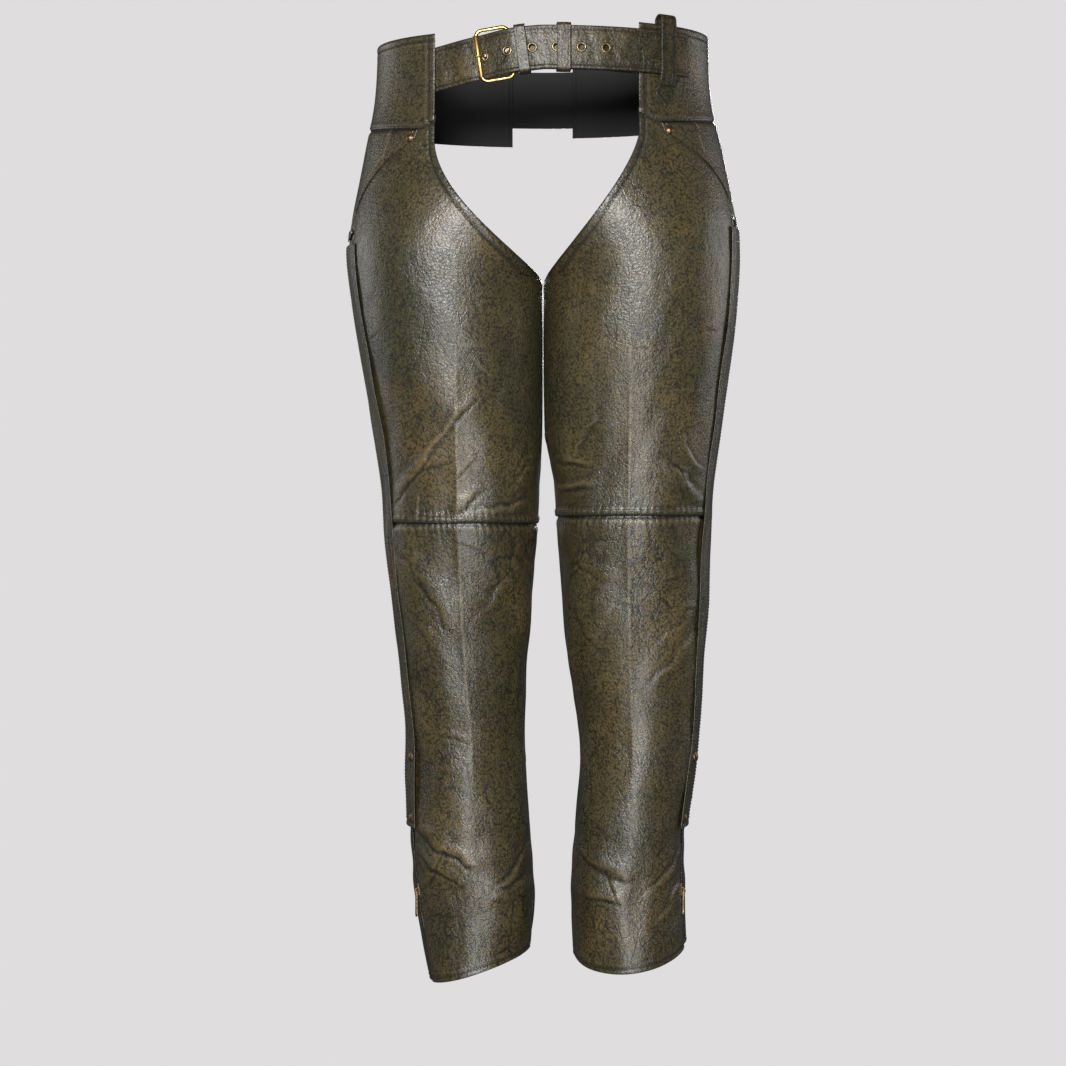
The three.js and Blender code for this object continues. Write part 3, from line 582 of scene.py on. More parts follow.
def antiquedHide(name, crackAmount=1.0, goldenAmount=1.0, polish=1.0, tone=1.0):
    # two dyes rubbed together: a dark top coat left in cracks and seams, worn to golden on the folds, plus
    # painted shade in creases and painted highlight on ridges
    material, nodes, links, shader = newMaterial(name)
    plain = stretched(nodes, links, (1, 1, 1))
    tall = stretched(nodes, links, (1.3, 1.3, 0.8))
    seam = node(nodes, "ShaderNodeAttribute", attribute_name="seam").outputs["Fac"]
    ridge_wear_and_highlight = node(nodes, "ShaderNodeAttribute", attribute_name="ridge_wear_and_highlight").outputs["Fac"]

    def times(a, b):
        return maths(nodes, links, "MULTIPLY", a, b)

    patches = noise(nodes, links, plain, 7, 4, 0.6, 0.5)
    dyes = [(0.34, hide["green"]), (0.5, hide["olive"]), (0.72, hide["golden"])]
    base = ramp(nodes, links, patches, dyes)
    fleck = noise(nodes, links, tall, 210, 5, 0.75, 0.3)
    golden = ramp(nodes, links, fleck, [(0.42, 0.0), (0.66, goldenAmount * 0.6)])
    base = mixColour(nodes, links, golden, base, hide["golden"])
    smoke = noise(nodes, links, tall, 26, 12, 0.8, 1.1)
    smoked = ramp(nodes, links, smoke, [(0.42, 0.0), (0.70, 0.5)])
    base = mixColour(nodes, links, smoked, base, hide["dark"])
    speck = noise(nodes, links, plain, 480, 3, 0.7)
    specked = ramp(nodes, links, speck, [(0.5, 0.0), (0.68, 0.45)])
    base = mixColour(nodes, links, specked, base, hide["dark"])
    pebbles = node(nodes, "ShaderNodeTexVoronoi", feature="SMOOTH_F1", Scale=hide["grain"], Smoothness=0.4)
    links.new(plain, pebbles.inputs["Vector"])
    pits = ramp(nodes, links, pebbles.outputs["Distance"], [(0.42, 0.0), (0.72, 0.75)])
    base = mixColour(nodes, links, pits, base, hide["dark"])

    # cracks: the borders of warped cells, broken up so that they come and go
    warp = node(nodes, "ShaderNodeTexNoise", Scale=90, Detail=4)
    links.new(tall, warp.inputs["Vector"])
    cracks = 0.0
    for scale, low, high in ((hide["crack"], 0.50, 0.58), (hide["crack"] * 0.45, 0.50, 0.58)):
        bent = mixColour(nodes, links, 0.011, tall, warp.outputs["Color"], "ADD")
        cells = node(nodes, "ShaderNodeTexVoronoi", feature="DISTANCE_TO_EDGE", Scale=scale)
        links.new(bent, cells.inputs["Vector"])
        lines = ramp(nodes, links, cells.outputs["Distance"], [(0.01, 1.0), (0.065, 0.0)])
        start = low - 0.14 * (crackAmount - 0.8)
        comeAndGo = noise(nodes, links, plain, 14 + scale / 40, 4, 0.7)
        gate = ramp(nodes, links, comeAndGo, [(start, 0.0), (high, 1.0)])
        cracks = maths(nodes, links, "MAXIMUM", times(lines, gate), cracks)
    cracks = times(cracks, min(1.0, crackAmount))
    base = mixColour(nodes, links, times(cracks, 0.85), base, hide["dark"])

    # dark dye along seams and edges, with painted shade in crease valleys and where a panel comes out from
    # under its neighbour
    seam_dye_and_shade = times(seam, maths(nodes, links, "ADD", fleck, 0.5))
    base = mixColour(nodes, links, maths(nodes, links, "MINIMUM", seam_dye_and_shade, 0.93), base, hide["dark"])
    # painted highlight with wear: the ridges of the folds are lightened
    base = mixColour(nodes, links, times(ridge_wear_and_highlight, 0.45), base, hide["wear_and_sheen"])
    base = mixColour(nodes, links, 1.0, base, (tone, tone, tone), "MULTIPLY")
    links.new(base, shader.inputs["Base Color"])

    dull = maths(nodes, links, "ADD", times(fleck, 0.35), times(smoke, 0.3))
    links.new(ramp(nodes, links, dull, [(0.2, 0.30), (0.45, 0.50)]), shader.inputs["Roughness"])
    shader.inputs["Specular IOR Level"].default_value = 0.6
    shader.inputs["Coat Weight"].default_value = 0.5 * polish
    shader.inputs["Coat Roughness"].default_value = 0.3

    wrinkle = noise(nodes, links, tall, 150, 7, 0.72, 0.9)
    height = times(pebbles.outputs["Distance"], 0.75)
    height = maths(nodes, links, "ADD", height, times(wrinkle, 1.3))
    height = maths(nodes, links, "ADD", height, times(fleck, 0.3))
    height = maths(nodes, links, "SUBTRACT", height, times(cracks, 0.5))
    grain = node(nodes, "ShaderNodeBump", Strength=0.6, Distance=0.0006)
    links.new(height, grain.inputs["Height"])
    links.new(grain.outputs["Normal"], shader.inputs["Normal"])
    links.new(grain.outputs["Normal"], shader.inputs["Coat Normal"])
    return material


def plainFinish(name, colour, roughness, metallic=0.0, mottle=0.0, scale=200, bump=0.0, dark=None):
    material, nodes, links, shader = newMaterial(name)
    place = stretched(nodes, links, (1, 1, 1))
    spots = noise(nodes, links, place, scale, 5, 0.6)
    base = ramp(nodes, links, spots, [(0.4 - 0.1 * mottle, dark or colour), (0.6, colour)])
    links.new(base, shader.inputs["Base Color"])
    shader.inputs["Metallic"].default_value = metallic
    rough = ramp(nodes, links, spots, [(0.35, min(1, roughness + 0.2 * mottle)), (0.65, roughness)])
    links.new(rough, shader.inputs["Roughness"])
    if bump:
        grain = node(nodes, "ShaderNodeBump", Strength=bump, Distance=0.0002)
        links.new(spots, grain.inputs["Height"])
        links.new(grain.outputs["Normal"], shader.inputs["Normal"])
    return material


thighHide = antiquedHide("antiqued_olive_hide", 0.75, 0.5)
shinHide = antiquedHide("antiqued_shin_hide", 1.2, 0.7, 0.8)
strapHide = antiquedHide("antiqued_strap_hide", 1.0, 0.6, 0.15, 0.75)
suedeBack = plainFinish("black_satin_lining", (0.008, 0.008, 0.0085), 0.75, mottle=0.4, scale=1500, bump=0.3)
tapeWeave = plainFinish("zip_tape_weave", (0.012, 0.012, 0.014), 0.8, mottle=0.3, scale=2500, bump=0.5)
darkThread = plainFinish("waxed_dark_thread", (0.032, 0.026, 0.016), 0.5, mottle=0.3, scale=1800, bump=0.4)
agedBrass = plainFinish("aged_brass", (0.62, 0.42, 0.15), 0.28, 1.0, 0.8, 350, 0.25, (0.30, 0.19, 0.07))
copperCap = plainFinish("aged_copper", (0.42, 0.25, 0.12), 0.32, 1.0, 0.8, 500, 0.2, (0.13, 0.08, 0.045))
darkBrass = plainFinish("dark_brass_eyelet", (0.34, 0.25, 0.12), 0.36, 1.0, 0.8, 500, 0.2, (0.10, 0.08, 0.05))
print("finishes are made")


def settle(edge, start, end, u, guess):
    z = np.full_like(u, guess)
    for _ in range(30):
        angle = start(z) + (end(z) - start(z)) * u
        z = z * 0.4 + edge(angle) * 0.6
    return z


def edgeShape(d, kind):
    # how a panel's edge stands: sewn into a valley, or turned over with a stitched groove
    if kind == "sewn":
        return -1.1 * np.exp(-d / 2.2) + 0.35 * bump(d - 5.5, 2.6)
    if kind == "turned":
        return 0.55 * bump(d - 2.4, 2.4) - 0.55 * bump(d - 6.6, 1.0) + 0.2 * bump(d - 9.5, 2)
    if kind == "under":
        return -1.6 * np.exp(-d / 5)
    if kind == "lapped":
        return -2.1 * np.clip(1.0 - (d - lap) / 4.5, 0, 1) ** 1.5
    return np.zeros_like(d)


def stepAlong(points, axis):
    return np.linalg.norm(np.gradient(points, axis=axis), axis=-1)


def uprightness(edgePoints):
    # along a row the way to a slanting edge is longer than the way square to it, by one over this
    step = np.gradient(edgePoints, axis=0)
    return np.abs(step[:, 2]) / np.maximum(np.linalg.norm(step, axis=-1), 1e-9)


def legPanel(
    name, leg, start, end, bottom, top, kinds, material, nodes, grid=(150, 210), off=0.0, thick=leather,
    extra=None, flatness=1.0, runs=(150, 400),
):
    # hide between two angles and two heights; kinds names its start, end, bottom and top edges
    across, down = grid
    uu = spread(across, runs[0])
    vv = spread(down, runs[1])
    low = settle(bottom, start, end, uu, -300.0)
    high = settle(top, start, end, uu, -150.0)
    z = low[:, None] + (high - low)[:, None] * vv[None]
    first, last = start(z), end(z)
    angle = first + (last - first) * uu[:, None]
    bare = onLeg(leg, angle, z)
    stepU, stepV = stepAlong(bare, 0), stepAlong(bare, 1)
    arcU = np.cumsum(stepU, 0) - stepU[:1]
    arcV = np.cumsum(stepV, 1) - stepV[:, :1]
    fromStart = arcU * np.clip(uprightness(bare[0]), 0.15, 1)[None]
    fromEnd = (arcU[-1:] - arcU) * np.clip(uprightness(bare[-1]), 0.15, 1)[None]
    fromLow = arcV
    fromHigh = arcV[:, -1:] - arcV
    distances = [fromStart, fromEnd, fromLow, fromHigh]
    slack = relief(leg, angle, z) * flatness
    lift = slack.copy()
    seam = np.zeros_like(z)
    for d, kind in zip(distances, kinds):
        if kind == "opening":
            # turned over and stitched above the crotch, sewn to the other half of the leg below it
            above = np.clip((z - crotchHeight) / 6, 0, 1)
            lift += above * edgeShape(d, "turned") + (1 - above) * edgeShape(d, "sewn")
            seam = np.maximum(seam, 0.75 * bump(d - 6.4, 1.5) * above)
            seam = np.maximum(seam, 0.9 * np.exp(-d / 2.0))
            continue
        lift += edgeShape(d, kind)
        if kind == "turned":
            seam = np.maximum(seam, 0.75 * bump(d - 6.4, 1.5))
            seam = np.maximum(seam, 0.55 * np.exp(-d / 1.6))
        elif kind == "lapped":
            # painted shade: a dark strip where the panel comes out from under its neighbour's edge
            seam = np.maximum(seam, 0.95 * np.exp(-np.maximum(0, d - lap - 0.4) / 2.4))
        elif kind in ("sewn", "under"):
            seam = np.maximum(seam, 0.95 * np.exp(-d / 3.2))
    nearest = np.minimum.reduce(distances)
    calmEdge = np.clip(nearest / 14, 0, 1)
    lift -= slack * (1 - calmEdge) * 0.6
    if extra is not None:
        lift = lift + extra(angle, z, distances)
    # from the relief's curvature: ridges get wear with painted highlight, crease valleys get painted shade in
    # the seam mask
    curve = np.gradient(np.gradient(lift, axis=0), axis=0) + np.gradient(np.gradient(lift, axis=1), axis=1)
    stepSize = max(1e-6, float(np.median(stepV))) ** 2
    ridge_wear_and_highlight = np.clip(-curve / stepSize * 6 - 0.08, 0, 1) * calmEdge
    seam = np.maximum(seam, np.clip(curve / stepSize * 6 - 0.1, 0, 0.75) * calmEdge)
    rollSize = 0.85
    rollDown = 1 - np.sqrt(np.clip(1 - (1 - np.clip(nearest / rollSize, 0, 1)) ** 2, 0, 1))
    half = thick / 2
    outer = onLeg(leg, angle, z, off + lift + half - rollDown * half * 0.9)
    inner = onLeg(leg, angle, z, off + lift - half + rollDown * half * 0.9)
    obj = slab(name, outer, inner, [material, suedeBack], {"seam": seam, "ridge_wear_and_highlight": ridge_wear_and_highlight})
    finishPiece(obj, nodes)
    width, length = float(arcU[-1].max()) * mm, float(arcV[:, -1].max()) * mm
    cell = np.cross(bare[1:, :-1] - bare[:-1, :-1], bare[:-1, 1:] - bare[:-1, :-1])
    area = float(np.linalg.norm(cell, axis=-1).sum()) * mm * mm
    sheetSizes.append((name, width, length, area))
    return {"outer": outer, "distances": distances}


sheetSizes = []
panels = {}
kneeBand = {"high": 9, "pucker": 0.28, "pitch": 7.5}


def kneePuckers(leg, above):
    # small upright gathers where the knee seam is sewn down
    def gathers(angle, z, distances):
        d = distances[2] if above else distances[3]
        arc = np.radians(angle) * section(leg, z)[1]
        ripple = np.sin(arc * 2 * math.pi / kneeBand["pitch"] + 1.5 * np.sin(arc / 19))
        fade = np.exp(-((d - 5) / 9) ** 2) if above else np.exp(-((d - 9) / 11) ** 2)
        raised = 0.9 * np.clip((kneeBand["high"] - d) / 1.2, 0, 1) if above else 0
        return kneeBand["pucker"] * ripple * fade + raised
    return gathers


def zipGap(z):
    # the panels stand off the teeth, and close in below the zip's foot
    return zipEdge - 2.4 * np.clip((-955 - z) / 15, 0, 1)


def yokeLap(leg):
    # past the pocket mouth the thigh panel runs up under the yoke
    gathers = kneePuckers(leg, True)

    def shape(angle, z, distances):
        past = np.clip((angle - leg["pocket"]["mouth"] - 1) / 1.5, 0, 1)
        under = 2.1 * past * np.clip(1 - (distances[3] - lap) / 4.5, 0, 1) ** 1.5
        return gathers(angle, z, distances) - under
    return shape


def buildLeg(leg):
    name = leg["name"]
    mouth = leg["pocket"]["mouth"]
    fromZip = lambda z: zipSide(leg, z, zipGap(z))
    toZip = lambda z: zipSide(leg, z, -zipGap(z))
    front = lambda z: frontEdge(leg, z)
    rear = lambda z: backEdge(leg, z)
    pocket = lambda a: pocketLine(leg, a) - 0.4
    frontTop = lambda a: pocket(a) + (lap + 0.7) * np.clip((a - mouth - 1) / 1.5, 0, 1)
    hem = lambda a: hemLine(leg, a)

    def facingFoot(a):
        # the side panel runs down under the thigh panels, and by the zip as far as the flap
        byZip = np.clip((26 - a) / 4, 0, 1)
        foot = pocketLine(leg, a) - 2 * lap
        return foot + (np.minimum(foot, leg["flapTop"] - 12) - foot) * byZip

    def facingDrop(angle, z, distances):
        return -2.4 * np.clip(1 - (z - pocketLine(leg, angle)) / 5, 0, 1) ** 1.5

    made = {}
    made["hip_yoke"] = legPanel(
        f"{name}_hip_yoke_leather", leg, lambda z: sideSeam + turn(leg, 0.3, z), front,
        lambda a: yokeLine(leg, a) + 0.3, constant(leg["top"]), ["sewn", "turned", "sewn", "turned"],
        thighHide, f"{name}_hip_yoke", (110, 80))
    made["back_yoke"] = legPanel(
        f"{name}_back_yoke_leather", leg, lambda z: turn(leg, 0.3, z) - angleAt(leg, 34, z),
        lambda z: sideSeam + turn(leg, lap, z), constant(leg["yoke"]["side"] + 0.3),
        constant(leg["top"]), ["turned", "lapped", "sewn", "turned"],
        thighHide, f"{name}_back_yoke", (110, 80))
    made["side_panel"] = legPanel(
        f"{name}_side_panel_leather", leg, rear, constant(leg["pocket"]["mouth"]),
        facingFoot, lambda a: yokeLine(leg, a) + lap,
        ["turned", "plain", "plain", "lapped"], thighHide, f"{name}_side_panel", (150, 80),
        extra=facingDrop)
    made["front_thigh"] = legPanel(
        f"{name}_front_thigh_leather", leg, fromZip, front, constant(leg["knee"] + 0.3), frontTop,
        ["under", "opening", "sewn", "sewn"], thighHide, f"{name}_front_thigh", (160, 215),
        extra=yokeLap(leg))
    made["back_thigh"] = legPanel(
        f"{name}_back_thigh_leather", leg, rear, toZip, constant(leg["knee"] + 0.3), pocket,
        ["opening", "under", "sewn", "sewn"], thighHide, f"{name}_back_thigh", (120, 150),
        extra=kneePuckers(leg, True))
    made["front_shin"] = legPanel(
        f"{name}_front_shin_leather", leg, fromZip, front, hem, constant(leg["knee"] + lap),
        ["under", "sewn", "turned", "lapped"], shinHide, f"{name}_front_shin", (125, 240),
        extra=kneePuckers(leg, False))
    made["back_shin"] = legPanel(
        f"{name}_back_shin_leather", leg, rear, toZip, hem, constant(leg["knee"] + lap),
        ["sewn", "under", "turned", "lapped"], shinHide, f"{name}_back_shin", (110, 190),
        extra=kneePuckers(leg, False))
    for key, value in made.items():
        panels[f"{name}_{key}"] = value
    print(f"{name} leg panels are cut")


for leg in (rightLeg, leftLeg):
    buildLeg(leg)


def pocketPieces(leg):
    name = leg["name"]
    mouth = leg["pocket"]["mouth"]
    legPanel(
        f"{name}_pocket_welt_leather", leg, constant(2.0), constant(mouth + 2.4),
        lambda a: pocketLine(leg, a) - 9.5, lambda a: pocketLine(leg, a) + 0.6,
        ["plain", "plain", "rolled", "rolled"], thighHide, f"{name}_pocket_welt", (110, 18),
        off=2.0, thick=1.2, runs=(130, 10))
    legPanel(
        f"{name}_pocket_bag_cloth", leg, constant(zipAngle + 13), constant(mouth), constant(-262),
        lambda a: pocketLine(leg, a) - 4, ["plain"] * 4, suedeBack, f"{name}_pocket_bag", (40, 60),
        off=-3.4, thick=0.9, runs=(80, 120))
    legPanel(
        f"{name}_thigh_lining_cloth", leg, lambda z: zipSide(leg, z, 18),
        lambda z: np.minimum(frontEdge(leg, z) - turn(leg, 14, z), 105.0), constant(leg["knee"] + 15),
        lambda a: pocketLine(leg, a) - 10, ["plain"] * 4, suedeBack, f"{name}_thigh_lining", (50, 90),
        off=-7, thick=0.6, runs=(140, 320), flatness=0.5)
    panels[f"{name}_zip_flap"] = legPanel(
        f"{name}_zip_flap_leather", leg, lambda z: zipSide(leg, z, -20), lambda z: zipSide(leg, z, 18),
        constant(-858), constant(leg["flapTop"]), ["turned", "turned", "turned", "plain"], shinHide,
        f"{name}_zip_flap", (48, 330), off=2.8, thick=1.6, runs=(38, 640),
        extra=lambda a, z, d: 0.5 * np.sin(z / 17 + leg["side"]) * np.exp(-d[1] / 8))


zipper = {"foot": -948, "level": -2.8, "pitch": 2.6, "tooth": 0.62}


def zipHalf(leg, half, sign):
    name = leg["name"]
    top, foot = leg["flapTop"] - 6, zipper["foot"]
    z = np.linspace(foot, top, 300)[:, None]
    # the tape with a thicker cord along its edge
    w = np.array([0.6, 0.9, 1.6, 2.4, 3.2, 6, 10, 14, 17])[None]
    lift = relief(leg, zipSide(leg, z, sign * w), z) * 0.9
    thick = 0.25 + 0.65 * bump(w - 1.6, 0.9)
    level = zipper["level"] - 0.65 + 0.5 * np.exp(-w / 2.4)
    tapeOut = onLeg(leg, zipSide(leg, z, sign * w), z, level + lift + thick)
    tapeIn = onLeg(leg, zipSide(leg, z, sign * w), z, level + lift - thick)
    tape = slab(f"{name}_zip_tape_{half}", tapeOut, tapeIn, [tapeWeave])
    finishPiece(tape, [])
    # teeth: one shape with a waist and a head, set every second half pitch so that the two rows mesh
    at = np.arange(foot + 3, top - 2, zipper["pitch"]) + (zipper["pitch"] / 2 if sign > 0 else 0)
    profile = np.array([[3.4, 0.75], [1.6, 0.62], [0.5, 0.45], [-0.35, 0.62], [-0.75, 0.35]])
    across = np.concatenate([profile[:, 0], profile[::-1, 0]])
    up = np.concatenate([profile[:, 1], -profile[::-1, 1]])
    level = np.array([-1.05, 1.05])
    wide = np.broadcast_to(across, (len(at), 2, len(across)))
    high = at[:, None, None] + np.broadcast_to(up, (len(at), 2, len(across)))
    out = np.broadcast_to(level[None, :, None], wide.shape) * (1 - 0.12 * (wide < 0))
    lift = relief(leg, zipSide(leg, at, 0), at)[:, None, None] * 0.9
    points = onLeg(leg, zipSide(leg, high, sign * wide), high, zipper["level"] + lift + out)
    ring = len(across)
    i = np.arange(ring)
    sides = np.stack([i, (i + 1) % ring, (i + 1) % ring + ring, i + ring], -1)
    k = np.arange(ring // 2 - 1)
    lid = np.stack([k, k + 1, ring - 2 - k, ring - 1 - k], -1)
    one = np.concatenate([sides, lid[:, ::-1], lid + ring])
    faces = (one[None] + (np.arange(len(at)) * 2 * ring)[:, None, None]).reshape(-1, 4)
    teeth = makeMesh(f"{name}_zip_teeth_{half}", points, faces, darkBrass, smooth=False)
    finishPiece(teeth, f"{name}_zip_{half}_half")


for leg in (rightLeg, leftLeg):
    pocketPieces(leg)
    zipHalf(leg, "front", 1)
    zipHalf(leg, "back", -1)
print("pockets, linings, flaps and zips are in")


belt = {"level": -24, "drop": 17, "reach": 112, "power": 1.2, "width": 46, "thick": 2.6}
eyelets = {"count": 6, "first": -62.5, "pitch": 25.4, "hole": 4.2}


def beltLevel(x):
    return belt["level"] - belt["drop"] * np.maximum(0, -x / belt["reach"]) ** belt["power"]


def beltSlope(x):
    steep = belt["drop"] * belt["power"] / belt["reach"]
    return steep * np.maximum(0, -x / belt["reach"]) ** (belt["power"] - 1)


def onBelt(x, out, rise=0.0):
    x, out, rise = np.broadcast_arrays(*(np.asarray(a, float) for a in (x, out, rise)))
    level = np.full_like(x, belt["level"])
    points = onLeg(leftLeg, angleAt(leftLeg, x - rise * beltSlope(x), level), level, out)
    points[..., 2] = beltLevel(x) + rise
    return points


def levels(stops):
    # smooth steps between values reached at given places
    places, values = np.array(stops, float).T

    def at(x):
        i = np.clip(np.searchsorted(places, x, side="left"), 1, len(places) - 1)
        t = np.clip((x - places[i - 1]) / (places[i] - places[i - 1]), 0, 1)
        return values[i - 1] + (values[i] - values[i - 1]) * t * t * (3 - 2 * t)
    return at


tongueOff = levels([[-140, -4.8], [-108, -4.8], [-70, -1.6], [-28, 8.6], [0, 6], [160, 6]])
underOff = levels([[-30, 1.4], [60, 1.4], [96, -4.8], [120, -4.8]])


def frameAt(point, outward, up):
    # columns: across, inward, up; a frame for small parts whose outer side is -Y
    outward = outward / np.linalg.norm(outward)
    up = up - outward * up.dot(outward)
    up = up / np.linalg.norm(up)
    return point, np.stack([np.cross(up, outward), -outward, up], 1)


def strapFrame(x, off):
    here, ahead, before = (onBelt(a, off(np.array(a, float))) for a in (x, x + 1.0, x - 1.0))
    along = (ahead - before) / np.linalg.norm(ahead - before)
    outward = np.cross(along, [0, 0, 1])
    return frameAt(here, outward, np.cross(outward, along))


def inFrame(points, frame):
    return frame[0] + np.asarray(points, float) @ frame[1].T


def beltStrap(name, start, end, off, node, tip=0.0, seed=5, grid=(420, 46)):
    across = spread(grid[0], abs(end - start))
    u = (start + (end - start) * across)[:, None]
    v = (spread(grid[1], belt["width"]) * 2 - 1)[None]
    left = np.abs(end - u)
    pointed = np.clip(1 - left / tip, 0, 1) if tip else np.zeros_like(u)
    half = belt["width"] / 2 * np.sqrt(1 - pointed**2 * 0.93)
    rise = half * v
    fromSide = half * (1 - np.abs(v))
    fromEnd = np.minimum(np.abs(u - start), left) + 0 * v
    nearest = np.minimum(fromSide, fromEnd)
    wrinkles = 0.22 * waves(u, rise * 0.6, seed, 7, 40, 5) * np.clip(fromSide / 6, 0, 1)
    groove = 0.45 * bump(fromSide - 4.6, 0.9) + 0.25 * bump(fromSide - 7.4, 0.9)
    lift = wrinkles - groove + 0.25 * bump(fromSide - 2.2, 1.6)
    roll = 1 - np.sqrt(np.clip(1 - (1 - np.clip(nearest / 0.9, 0, 1)) ** 2, 0, 1))
    thick = belt["thick"] / 2
    outer = onBelt(u + 0 * v, off(u) + lift + thick - roll * thick * 0.85, rise)
    inner = onBelt(u + 0 * v, off(u) + lift * 0.3 - thick + roll * thick * 0.85, rise)
    seam = np.maximum(0.7 * bump(fromSide - 4.6, 1.2), 0.6 * np.exp(-nearest / 1.2))
    # raised parts are lightened: wear with painted highlight
    ridge_wear_and_highlight = np.clip(lift * 1.2, 0, 1) * np.clip(fromSide / 6, 0, 1)
    obj = slab(name, outer, inner, [strapHide], {"seam": seam, "ridge_wear_and_highlight": ridge_wear_and_highlight})
    panels[name] = {"outer": outer, "distances": [fromEnd, fromEnd, rise + half, half - rise]}
    finishPiece(obj, node)
    return obj


def lathe(profile, around=40):
    # a closed outline of radius and height turned round the -Y axis
    profile = np.asarray(profile, float)
    t = np.linspace(0, 2 * math.pi, around, endpoint=False)
    r, h = profile[:, :1], profile[:, 1:]
    points = np.stack([r * np.cos(t), -h + 0 * t, r * np.sin(t)], -1)
    return points.reshape(-1, 3), ringFaces(len(profile), around, closed=True)


def cutHoles(obj, cutters):
    for cutter in cutters:
        change = obj.modifiers.new("hole", "BOOLEAN")
        change.object = cutter
        change.operation = "DIFFERENCE"
        change.solver = "EXACT"
    made = bpy.data.meshes.new_from_object(obj.evaluated_get(bpy.context.evaluated_depsgraph_get()))
    obj.modifiers.clear()
    obj.data = made
    for cutter in cutters:
        bpy.data.objects.remove(cutter)


tongue = beltStrap("belt_tongue_leather", 150, -136, tongueOff, "belt_tongue", tip=16)
eyeletOutline = [
    (3.05, 1.3), (3.05, -1.3), (3.3, -2.0), (4.0, -2.3), (5.2, -2.1), (5.5, -1.7), (5.3, -1.3),
    (3.9, -1.25), (3.75, 1.3), (5.3, 1.35), (5.65, 1.7), (5.3, 2.2), (4.3, 2.45), (3.5, 2.2), (3.15, 1.8),
]
punches = []
for i in range(eyelets["count"]):
    place = strapFrame(eyelets["first"] + eyelets["pitch"] * i, tongueOff)
    points, faces = lathe(eyeletOutline, 44)
    ring = makeMesh(f"belt_eyelet_ring_{i + 1}", inFrame(points, place), faces, darkBrass)
    finishPiece(ring, f"belt_eyelet_{i + 1}")
    hole = eyelets["hole"]
    points, faces = lathe([(0.01, -6), (hole, -6), (hole, 6), (0.01, 6)], 28)
    punches.append(makeMesh(f"punch_{i}", inFrame(points, place), faces, darkBrass))
cutHoles(tongue, punches)
print("belt tongue and eyelets are in")

heel = {"x": -33, "out": 1.7}
rollerBar = {"x": -68, "out": 4.7}
wire = {"width": 35, "height": 54, "radius": 2.0, "corner": 7}
heelPoint, rollerPoint = (onBelt(p["x"], p["out"]) for p in (heel, rollerBar))
barLine = (heelPoint - rollerPoint) / np.linalg.norm(heelPoint - rollerPoint)
facing = np.cross(barLine, [0, 0, 1])
buckleFrame = frameAt((heelPoint + rollerPoint) / 2, facing, np.cross(facing, barLine))


def roundedRectangle(width, height, corner, steps):
    # a closed outline with rounded corners, anticlockwise from the right side
    t = np.linspace(0, math.pi / 2, steps)
    c, s = corner * np.cos(t), corner * np.sin(t)
    w, h = width / 2 - corner, height / 2 - corner
    parts = [(w + c, h + s), (-w - c[::-1], h + s[::-1]), (-w - c, -h - s), (w + c[::-1], -h - s[::-1])]
    line = np.concatenate([np.stack(p, -1) for p in parts])
    closed = np.vstack([line, line[:1]])
    run = np.concatenate([[0], np.cumsum(np.linalg.norm(np.diff(closed, axis=0), axis=1))])
    at = np.linspace(0, run[-1], 8 * steps, endpoint=False)
    return np.stack([np.interp(at, run, closed[:, i]) for i in range(2)], -1)


def catmull(points, count):
    # a smooth line through points, evenly stepped
    points = np.asarray(points, float)
    ends = np.vstack([2 * points[0] - points[1], points, 2 * points[-1] - points[-2]])
    t = np.linspace(0, len(points) - 1, count)
    i = np.minimum(t.astype(int), len(points) - 2)
    f = (t - i)[:, None]
    a, b, c, d = ends[i], ends[i + 1], ends[i + 2], ends[i + 3]
    return 0.5 * (2 * b + (c - a) * f + (2 * a - 5 * b + 4 * c - d) * f**2 + (3 * b - a - 3 * c + d) * f**3)


outline2d = roundedRectangle(wire["width"], wire["height"], wire["corner"], 24)
loop = np.stack([outline2d[:, 0], np.zeros(len(outline2d)), outline2d[:, 1]], -1)
points, faces = tubeThrough(loop, wire["radius"], 20, closed=True, up=(0, 1, 0))
buckleWire = makeMesh("buckle_wire", inFrame(points, buckleFrame), faces, agedBrass)
finishPiece(buckleWire, "buckle_frame", "buckle")

rollerEnd = [(3.4, 21.7), (3.2, 22.1), (2.6, 22.2), (2.35, 22)]
rollerOutline = [(r, -h) for r, h in reversed(rollerEnd)] + rollerEnd
points, faces = lathe(rollerOutline, 40)
points = points[:, [0, 2, 1]] + [-wire["width"] / 2, 0, 0]
rollerTube = makeMesh("buckle_roller_tube", inFrame(points, buckleFrame), faces, agedBrass)
finishPiece(rollerTube, "buckle_roller", "buckle_roller")

bar = wire["width"] / 2
prongRoute = [
    [bar - 3.2, 0.8], [bar - 6, 4], [4, 9.6], [-5, 11.4], [-10, 11], [-11.9, 8.4],
    [-12.2, 4.8], [-12.3, 0], [-14, -4.1], [-17.5, -5.4], [-22, -4.8],
]
route = catmull(prongRoute, 90)
path = np.column_stack([route, np.zeros(len(route))])
reach = np.linspace(0, 1, len(path))
size = 1.35 * np.sqrt(np.clip(1 - np.clip((reach - 0.95) / 0.052, 0, 1) ** 2, 0.02, 1))
prongSides = 18
prong = tubeThrough(path, size, prongSides, up=(0, 0, 1))
t = np.linspace(0, 2 * math.pi, 48, endpoint=False)
eyePath = np.column_stack([bar + 3.2 * np.cos(t), 3.2 * np.sin(t), 0 * t])
eye = tubeThrough(eyePath, 0.8, 14, closed=True, squash=1.9, up=(0, 0, 1))
points, faces = prong
lids = []
k = np.arange(prongSides // 2 - 1)
